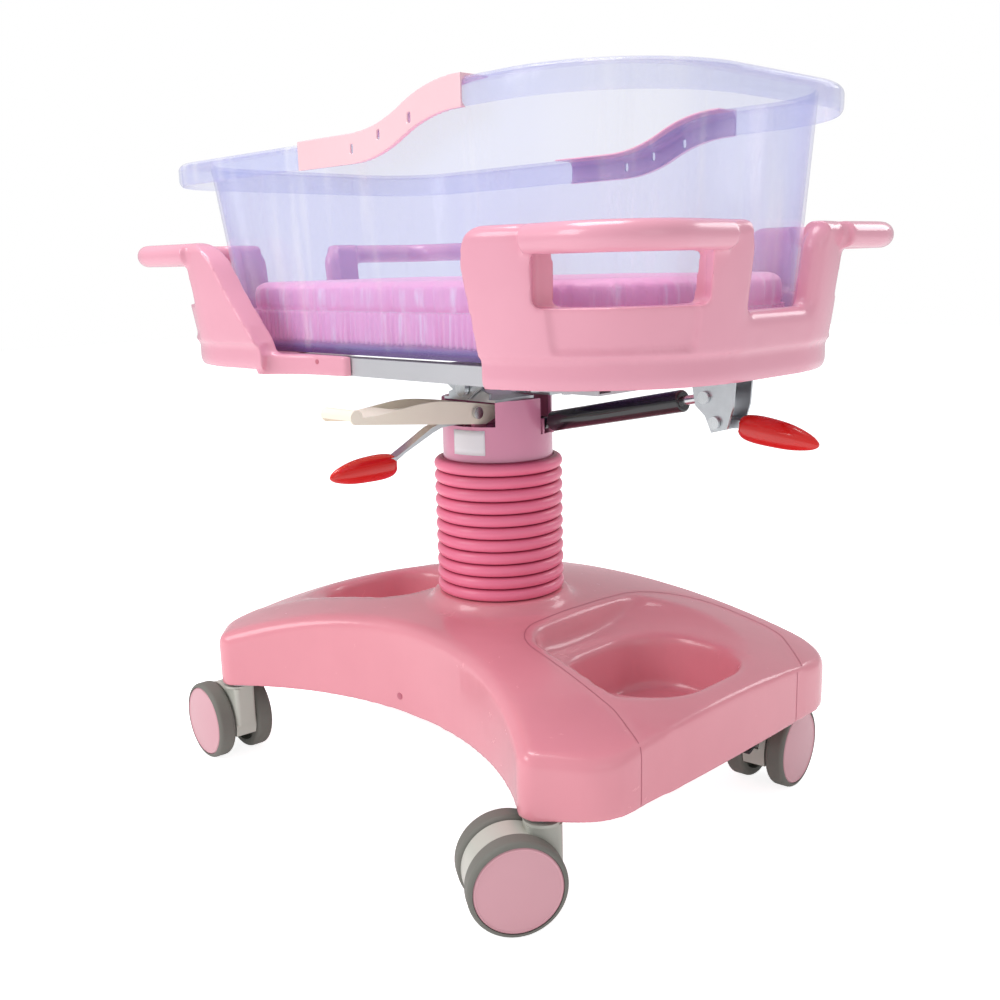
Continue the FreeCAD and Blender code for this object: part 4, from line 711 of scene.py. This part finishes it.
class BASSINET_OT_stage(bpy.types.Operator):
    """Sets the floor, lights and camera"""
    bl_idname = "bassinet.stage"
    bl_label = "Set the stage"

    def execute(self, context):
        scene = context.scene
        bm = bmesh.new()
        bmesh.ops.create_grid(bm, x_segments=1, y_segments=1, size=9.0)
        floor = new_piece("stage_floor", bm)
        material, tree, shader = new_material("stage_pale")
        set_plain(shader, {"Base Color": (0.85, 0.85, 0.85, 1), "Roughness": 0.9,
                           "Emission Color": (1, 1, 1, 1)})
        seen = tree.nodes.new("ShaderNodeLightPath").outputs["Is Camera Ray"]
        tree.links.new(maths(tree, "MULTIPLY_ADD", seen, 0.6, 0.22), shader.inputs["Emission Strength"])
        dress(floor, material)

        world = bpy.data.worlds.new("studio")
        world.use_nodes = True
        tree = world.node_tree
        set_plain(tree.nodes["Background"], {"Color": (0.96, 0.98, 1.0, 1), "Strength": 0.55})
        back = node(tree, "ShaderNodeBackground", in_Color=(1.0, 1.0, 1.0, 1))
        seen = tree.nodes.new("ShaderNodeLightPath")
        pick = tree.nodes.new("ShaderNodeMixShader")
        tree.links.new(seen.outputs["Is Camera Ray"], pick.inputs[0])
        tree.links.new(tree.nodes["Background"].outputs[0], pick.inputs[1])
        tree.links.new(back.outputs[0], pick.inputs[2])
        tree.links.new(pick.outputs[0], tree.nodes["World Output"].inputs["Surface"])
        scene.world = world
        scene.view_settings.view_transform = "Standard"

        for name, place, aim, size, power in LAMPS:
            lamp = bpy.data.lights.new(name, "AREA")
            lamp.size = size
            lamp.energy = power
            obj = bpy.data.objects.new(name, lamp)
            scene.collection.objects.link(obj)
            obj.location = place
            obj.rotation_euler = (Vector(aim) - Vector(place)).to_track_quat("-Z", "Y").to_euler()

        look = Vector(CAMERA_LOOK).normalized()
        roll = math.radians(CAMERA_ROLL)
        right = look.cross(Vector((0, 0, 1))).normalized()
        up = right.cross(look)
        x_axis = right * math.cos(roll) + up * math.sin(roll)
        y_axis = up * math.cos(roll) - right * math.sin(roll)
        camera = bpy.data.cameras.new("camera")
        camera.lens = LENS
        camera.sensor_width = 36.0
        camera.clip_end = 50.0
        obj = bpy.data.objects.new("camera", camera)
        scene.collection.objects.link(obj)
        turn = Matrix((x_axis, y_axis, -look)).transposed().to_4x4()
        obj.matrix_world = Matrix.Translation(CAMERA_PLACE) @ turn
        scene.camera = obj
        return {"FINISHED"}


class BASSINET_OT_carried(bpy.types.Operator):
    """Gives each carried-over solid its finish"""
    bl_idname = "bassinet.carried"
    bl_label = "Finish the solids"

    def execute(self, context):
        finish = {
            "column": ("column_head",),
            "paddle": ("height_paddle",),
            "levers": ("lock_lever_grip", "tilt_lever_grip"),
            "bush": ("column_bush",),
            "black": ("column_outer_tube", "lift_cylinder", "tilt_spring_cylinder"),
            "silver": ("tray_frame", "base_frame"),
            "zinc": ("tilt_cheeks", "tilt_bracket", "tilt_spring_bracket", "lock_lever_bar",
                     "tilt_lever_arm"),
            "steel": ("lift_rod", "column_inner_tube", "pivot_pins", "tilt_spring_pins", "tilt_spring_rod",
                      "moulding_screws", "caster_stems"),
            "tub": ("tub",)}
        for key, names in finish.items():
            for name in names:
                dress_node(name, FINISH[key])
        for corner in CASTERS:
            dress_node("caster_hood_" + corner, FINISH["hoods"])
            dress_node("caster_axle_" + corner, FINISH["steel"])
            for side in SIDES:
                dress_node("wheel_tyre_%s_%s" % (corner, side), FINISH["tyres"])
                dress_node("wheel_cap_%s_%s" % (corner, side), FINISH["caps"])
        for corner in ("near_foot", "far_head"):
            dress_node("brake_pedal_" + corner, FINISH["pedal"])
        return {"FINISHED"}


class BASSINET_OT_bellows(bpy.types.Operator):
    """Makes the ribbed sleeve over the column"""
    bl_idname = "bassinet.bellows"
    bl_label = "Make the bellows"

    def execute(self, context):
        sizes = context.scene.bassinet_sizes
        low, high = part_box("bellows")
        foot = low[2]
        top = high[2] + sizes.cuff
        pitch = (top - foot) / BELLOWS_RINGS
        crest = high[0]
        valley = crest - sizes.rib_depth
        bm = bmesh.new()
        rows = []
        for i in range(BELLOWS_RINGS):
            for k in range(BELLOWS_STEPS):
                turn = math.pi * k / BELLOWS_STEPS
                rows.append((valley + sizes.rib_depth * math.sin(turn) ** 0.85,
                             foot + pitch * (i + 0.5 - 0.5 * math.cos(turn))))
        rows.append((valley, top))
        rows.append((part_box("column_head")[1][0] - 0.006, top + 0.0006))
        verts = [bm.verts.new((x, 0, z)) for x, z in rows]
        edges = [bm.edges.new(pair) for pair in zip(verts, verts[1:])]
        bmesh.ops.spin(bm, geom=verts + edges, axis=(0, 0, 1), cent=(0, 0, 0), dvec=(0, 0, 0),
                       angle=2 * math.pi, steps=BELLOWS_TURNS, use_merge=True)
        sleeve = new_piece("bellows_sleeve", bm)
        wall = sleeve.modifiers.new("wall", "SOLIDIFY")
        wall.thickness = sizes.rib_wall
        wall.offset = -1.0
        dress(apply_modifiers(sleeve), FINISH["bellows"])
        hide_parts("bellows")
        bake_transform(sleeve)
        return {"FINISHED"}


class BASSINET_OT_mattress(bpy.types.Operator):
    """Makes the padded mattress with its gathered skirt and seam"""
    bl_idname = "bassinet.mattress"
    bl_label = "Make the mattress"

    def execute(self, context):
        scene = context.scene
        sizes = scene.bassinet_sizes
        low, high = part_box("mattress")
        seam = high[2] - sizes.seam_drop
        pad = solid_copy("mattress_pad", "mattress")
        centre = Vector(((low[0] + high[0]) / 2, (low[1] + high[1]) / 2, low[2]))
        shrink = [1 - 2 * by / (high[i] - low[i]) for i, by in enumerate(PAD_ROOM)]
        for vert in pad.data.vertices:
            vert.co = Vector([c + k * (v - c) for c, k, v in zip(centre, shrink, vert.co)])
        remesh(pad, PAD_GRAIN)
        self.fill(scene, pad, seam, sizes)
        modifier = pad.modifiers.new("finer", "SUBSURF")
        modifier.levels = modifier.render_levels = 1
        apply_modifiers(pad)

        loop, lap = even_loop(outline_at("mattress", (seam + low[2]) / 2), LOOP_COUNT)
        self.sew(pad, loop, lap, seam, high[2])
        pad.data.shade_smooth()
        dress(pad, FINISH["mattress"])
        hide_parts("mattress")
        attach(pad, "mattress")

        skirt = self.skirt(loop, lap, seam, low[2] + sizes.skirt_lift, sizes)
        stitches = self.stitches(loop, lap, seam, sizes)
        for piece in (skirt, stitches):
            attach(piece, "mattress")
        return {"FINISHED"}

    def fill(self, scene, pad, seam, sizes):
        """Blows the pad up a little, within the settings' swell."""
        start = [vert.co.copy() for vert in pad.data.vertices]
        filling = pad.modifiers.new("fill", "CLOTH")
        filling.settings.use_pressure = True
        filling.settings.uniform_pressure_force = PAD_PRESSURE
        filling.settings.effector_weights.gravity = 0.0
        filling.settings.quality = 4
        filling.point_cache.frame_end = PAD_STEPS
        for step in range(1, PAD_STEPS + 1):
            scene.frame_set(step)
        apply_modifiers(pad)
        scene.frame_set(1)
        for vert, home in zip(pad.data.vertices, start):
            move = vert.co - home
            side = Vector((move.x, move.y))
            if side.length > PAD_SIDEWAYS:
                side *= PAD_SIDEWAYS / side.length
            up = max(0.0, min(sizes.mattress_swell, move.z)) if home.z > seam else 0.0
            vert.co = home + Vector((side.x, side.y, up))

    def sew(self, pad, loop, lap, seam, top):
        """Draws the pad in along its seam, with sewn folds above it and a slow swell on its top."""
        tree = KDTree(len(loop))
        for i, (spot, _, _) in enumerate(loop):
            tree.insert((spot.x, spot.y, 0.0), i)
        tree.balance()
        for vert in pad.data.vertices:
            _, i, away = tree.find((vert.co.x, vert.co.y, 0.0))
            _, out, run = loop[i]
            if away > EDGE_BAND:
                if vert.co.z > seam:
                    vert.co.z += noise.noise(vert.co * 7.0) * 0.0012 + noise.noise(vert.co * 19.0) * 0.0005
                continue
            if vert.co.z < seam:
                tuck = UNDER_TUCK * min(1.0, (seam - vert.co.z) / SEAM_SPREAD)
            else:
                fade = max(0.0, 1 - (vert.co.z - seam) / (top - seam)) ** 0.4
                pinch = SEAM_PINCH * math.exp(-((vert.co.z - seam) / SEAM_SPREAD) ** 2)
                tuck = pinch + FOLD_DEPTH * fade * (0.5 - gather(run, lap, FOLD_PITCH, 2.0))
            near = max(0.0, 1 - away / EDGE_BAND)
            vert.co.x -= out.x * tuck * near
            vert.co.y -= out.y * tuck * near

    def skirt(self, loop, lap, seam, hem, sizes):
        """Gathered strip sewn on along the seam, wider and wavier towards its hem."""
        bm = bmesh.new()
        top = [bm.verts.new((0, 0, 0)) for _ in loop]
        edges = [bm.edges.new((a, b)) for a, b in zip(top, top[1:] + top[:1])]
        lines = [top]
        for _ in range(SKIRT_ROWS):
            made = bmesh.ops.extrude_edge_only(bm, edges=edges)["geom"]
            edges = [item for item in made if isinstance(item, bmesh.types.BMEdge)
                     and len(item.link_faces) == 1 and not any(v in lines[-1] for v in item.verts)]
            follow = {}
            for vert in (item for item in made if isinstance(item, bmesh.types.BMVert)):
                for link in vert.link_edges:
                    other = link.other_vert(vert)
                    if other not in made:
                        follow[other] = vert
            lines.append([follow[v] for v in lines[-1]])
        for row, line in enumerate(lines):
            t = row / SKIRT_ROWS
            for vert, (spot, out, run) in zip(line, loop):
                fold = gather(run, lap, sizes.pleat, 7.0)
                soft = noise.noise(Vector((spot.x * 16, spot.y * 16, 3.0)))
                swing = (0.0007 + 0.0021 * t ** 0.6) * fold - 0.0034 + 0.0006 * t
                drop = (seam - hem) * t * (1 + 0.05 * soft + 0.03 * fold)
                lean = 0.0015 * t * noise.noise(Vector((spot.x * 40, spot.y * 40, 9.0)))
                along = Vector((-out.y, out.x)) * lean
                vert.co = (spot.x + out.x * swing + along.x, spot.y + out.y * swing + along.y, seam - drop)
        skirt = new_piece("mattress_skirt", bm)
        wall = skirt.modifiers.new("cloth", "SOLIDIFY")
        wall.thickness = CLOTH_WALL
        wall.offset = 0.0
        dress(apply_modifiers(skirt), FINISH["mattress"])
        return skirt

    def stitches(self, loop, lap, seam, sizes):
        """Running stitch along the seam."""
        count = round(lap / sizes.stitch)
        bm = bmesh.new()
        for i in range(count):
            spot, out, _ = loop[int(i * len(loop) / count)]
            turn = Matrix(((-out.y, out.x, 0), (out.x, out.y, 0), (0, 0, 1))).transposed()
            size = Matrix.Diagonal((sizes.stitch * 0.33, 0.0005, 0.0006, 1))
            place = Matrix.Translation((spot.x - out.x * 0.0026, spot.y - out.y * 0.0026, seam))
            bmesh.ops.create_icosphere(bm, subdivisions=1, radius=1.0, matrix=place @ turn.to_4x4() @ size)
        piece = new_piece("mattress_stitches", bm)
        dress(piece, FINISH["thread"])
        return piece


class BASSINET_OT_shells(bpy.types.Operator):
    """Makes the soft-edged skins of the end mouldings and the base"""
    bl_idname = "bassinet.shells"
    bl_label = "Make the moulded skins"

    def execute(self, context):
        base = ("base_cover", "base_end_panel_head", "base_end_panel_foot")
        for name, nodes, voxel, rounds, finish, store in (
                ("head_moulding_skin", ("head_moulding",), HEAD_GRAIN, MOULDING_ROUNDS, "moulding",
                 "moulding_pink"),
                ("foot_moulding_skin", ("foot_moulding",), FOOT_GRAIN, MOULDING_ROUNDS, "moulding",
                 "moulding_pink"),
                ("base_skin", base, BASE_GRAIN, BASE_ROUNDS, "cover", "cover_pink")):
            skin = solid_copy(name, *nodes)
            if name != "base_skin":
                end = name.split("_")[0]
                cut_boxes(skin, self.windows(end))
                add_blocks(skin, self.fillers(end))
            remesh(swell(skin, CLOSING), voxel)
            swell(relax(skin, rounds), -CLOSING)
            skin.data.shade_smooth()
            dress(skin, FINISH[finish])
            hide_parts(*nodes)
            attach(skin, "base" if name == "base_skin" else "tray")
        return {"FINISHED"}

    def windows(self, end):
        """Boxes that clear the side windows of an end."""
        boxes = []
        for side in (-1, 1):
            low, high = sorted(side * y for y in WINDOW_Y)
            boxes.append(((WINDOW_X[end][0], low, WINDOW_Z[0]), (WINDOW_X[end][1], high, WINDOW_Z[1])))
        return boxes

    def fillers(self, end):
        """Blocks that close the hollow wall at its cut ends."""
        cut, lean, depth = WING_X[end]
        (z0, z1), (z2, z3) = WING_Z
        blocks = []
        for side in (-1, 1):
            wall = tuple(side * y for y in WING_Y)
            for foot, top in (((cut, z0), (cut, z1)), ((cut, z2), (lean, z3))):
                blocks.append([(foot + wall, top + wall),
                               ((foot[0] + depth, foot[1]) + wall, (top[0] + depth, top[1]) + wall)])
        return blocks


class BASSINET_OT_grips(bpy.types.Operator):
    """Makes the soft-edged skins of the rim grips"""
    bl_idname = "bassinet.grips"
    bl_label = "Make the rim grips"

    def execute(self, context):
        for name in ("rim_grip_near", "rim_grip_far"):
            skin = remesh(swell(solid_copy(name + "_skin", name), GRIP_SWELL), GRIP_GRAIN)
            swell(relax(skin, 2), -GRIP_SHRINK)
            skin.data.shade_smooth()
            dress(skin, FINISH["grips"])
            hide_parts(name)
            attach(skin, "tub")
        return {"FINISHED"}


class BASSINET_OT_details(bpy.types.Operator):
    """Adds the base's seams, the blank plate on the column and small screws"""
    bl_idname = "bassinet.details"
    bl_label = "Add the small details"

    def execute(self, context):
        skin = bpy.data.objects["base_skin"]
        tree = BVHTree.FromObject(skin, context.evaluated_depsgraph_get())
        for end, sign in (("head", 1), ("foot", -1)):
            seam = self.seam(tree, "base_seam_" + end, sign)
            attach(seam, "base")

        plate = self.plate()
        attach(plate, "lift")

        place, facing, _, _ = tree.ray_cast(Vector((WALL_SCREW[0], -0.5, WALL_SCREW[1])), Vector((0, 1, 0)))
        screw = button("base_wall_screw", place, facing, 0.0042, 0.0009, 0.0006)
        dress(screw, FINISH["seam"])
        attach(screw, "base")
        foot = bpy.data.objects["foot_moulding_skin"]
        tree = BVHTree.FromObject(foot, context.evaluated_depsgraph_get())
        for side, name in ((-1, "near"), (1, "far")):
            start = Vector((TONGUE_SCREW[0], side * 0.4, TONGUE_SCREW[1]))
            place, facing, _, _ = tree.ray_cast(start, Vector((0, -side, 0)))
            plug = button("tongue_screw_" + name, place, facing, 0.0028, 0.0006, 0.0004)
            dress(plug, FINISH["seam"])
            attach(plug, "tray")
        return {"FINISHED"}

    def seam(self, tree, name, sign):
        """Fine parting line between the cover and an end panel, down over the edge at both ends."""
        corners = [(sign * x, y, r) for x, y, r in BASE_SEAM]
        line = rounded_path(corners, SEAM_STEP)
        down = Vector((0, 0, -1))
        rows = []
        for a, b in zip(line, line[1:]):
            side = (b - a).normalized().orthogonal() * SEAM_HALF
            hits = [tree.ray_cast(Vector((spot.x, spot.y, 0.5)), down) for spot in (a + side, a - side)]
            if hits[0][0] and hits[1][0] and hits[0][1].z > 0.35:
                rows.append((hits[0][0], hits[1][0], hits[0][1]))
        for order, (tip, root) in ((1, (line[-1], line[-2])), (-1, (line[0], line[1]))):
            way = (root - tip).normalized()
            side = way.orthogonal() * -order * SEAM_HALF
            edge = rows[-1] if order == 1 else rows[0]
            z = edge[0].z - 0.002
            extra = []
            while z > COVER_FOOT:
                hits = [tree.ray_cast(Vector((spot.x, spot.y, z)), Vector((way.x, way.y, 0)))
                        for spot in (tip + side, tip - side)]
                z -= SEAM_STEP
                if hits[0][0] and hits[1][0] and hits[0][1].z < 0.6:
                    extra.append((hits[0][0], hits[1][0], hits[0][1]))
            rows = rows + extra if order == 1 else extra[::-1] + rows
        piece = ribbon(name, rows, 0.0002)
        dress(piece, FINISH["seam"])
        return piece

    def plate(self):
        """Blank curved plate on the near side of the column head."""
        low, high = PLATE_Z
        middle, half = PLATE_TURN
        bm = bmesh.new()
        bmesh.ops.create_grid(bm, x_segments=16, y_segments=4, size=1.0)
        for vert in bm.verts:
            turn = math.radians(middle + half * vert.co.x)
            z = low + (high - low) * (vert.co.y + 1) / 2
            vert.co = (PLATE_RADIUS * math.cos(turn), PLATE_RADIUS * math.sin(turn), z)
        plate = new_piece("column_plate", bm)
        wall = plate.modifiers.new("sheet", "SOLIDIFY")
        wall.thickness = 0.0005
        wall.offset = 0.0
        dress(apply_modifiers(plate), FINISH["plate"])
        return plate


class BASSINET_PT_sidebar(bpy.types.Panel):
    """Sidebar panel with the bassinet's steps and settings"""
    bl_idname = "BASSINET_PT_sidebar"
    bl_label = "Bassinet"
    bl_space_type = "VIEW_3D"
    bl_region_type = "UI"
    bl_category = "Bassinet"

    def draw(self, context):
        column = self.layout.column()
        for step in STEPS:
            column.operator(step.bl_idname)
        for settings in (context.scene.bassinet_colours, context.scene.bassinet_sizes):
            for key in settings.__annotations__:
                column.prop(settings, key)


STEPS = (BASSINET_OT_finishes, BASSINET_OT_stage, BASSINET_OT_carried, BASSINET_OT_bellows,
         BASSINET_OT_mattress, BASSINET_OT_shells, BASSINET_OT_grips, BASSINET_OT_details)
SETTINGS = (BassinetColours, BassinetSizes)


def register():
    for item in SETTINGS + STEPS + (BASSINET_PT_sidebar,):
        bpy.utils.register_class(item)
    bpy.types.Scene.bassinet_colours = PointerProperty(type=BassinetColours)
    bpy.types.Scene.bassinet_sizes = PointerProperty(type=BassinetSizes)


def unregister():
    del bpy.types.Scene.bassinet_sizes
    del bpy.types.Scene.bassinet_colours
    for item in reversed(SETTINGS + STEPS + (BASSINET_PT_sidebar,)):
        bpy.utils.unregister_class(item)


def main():
    register()
    bpy.ops.bassinet.finishes()
    bpy.ops.bassinet.stage()
    bpy.ops.bassinet.carried()
    bpy.ops.bassinet.bellows()
    bpy.ops.bassinet.mattress()
    bpy.ops.bassinet.shells()
    bpy.ops.bassinet.grips()
    bpy.ops.bassinet.details()


if __name__ == "__main__":
    main()
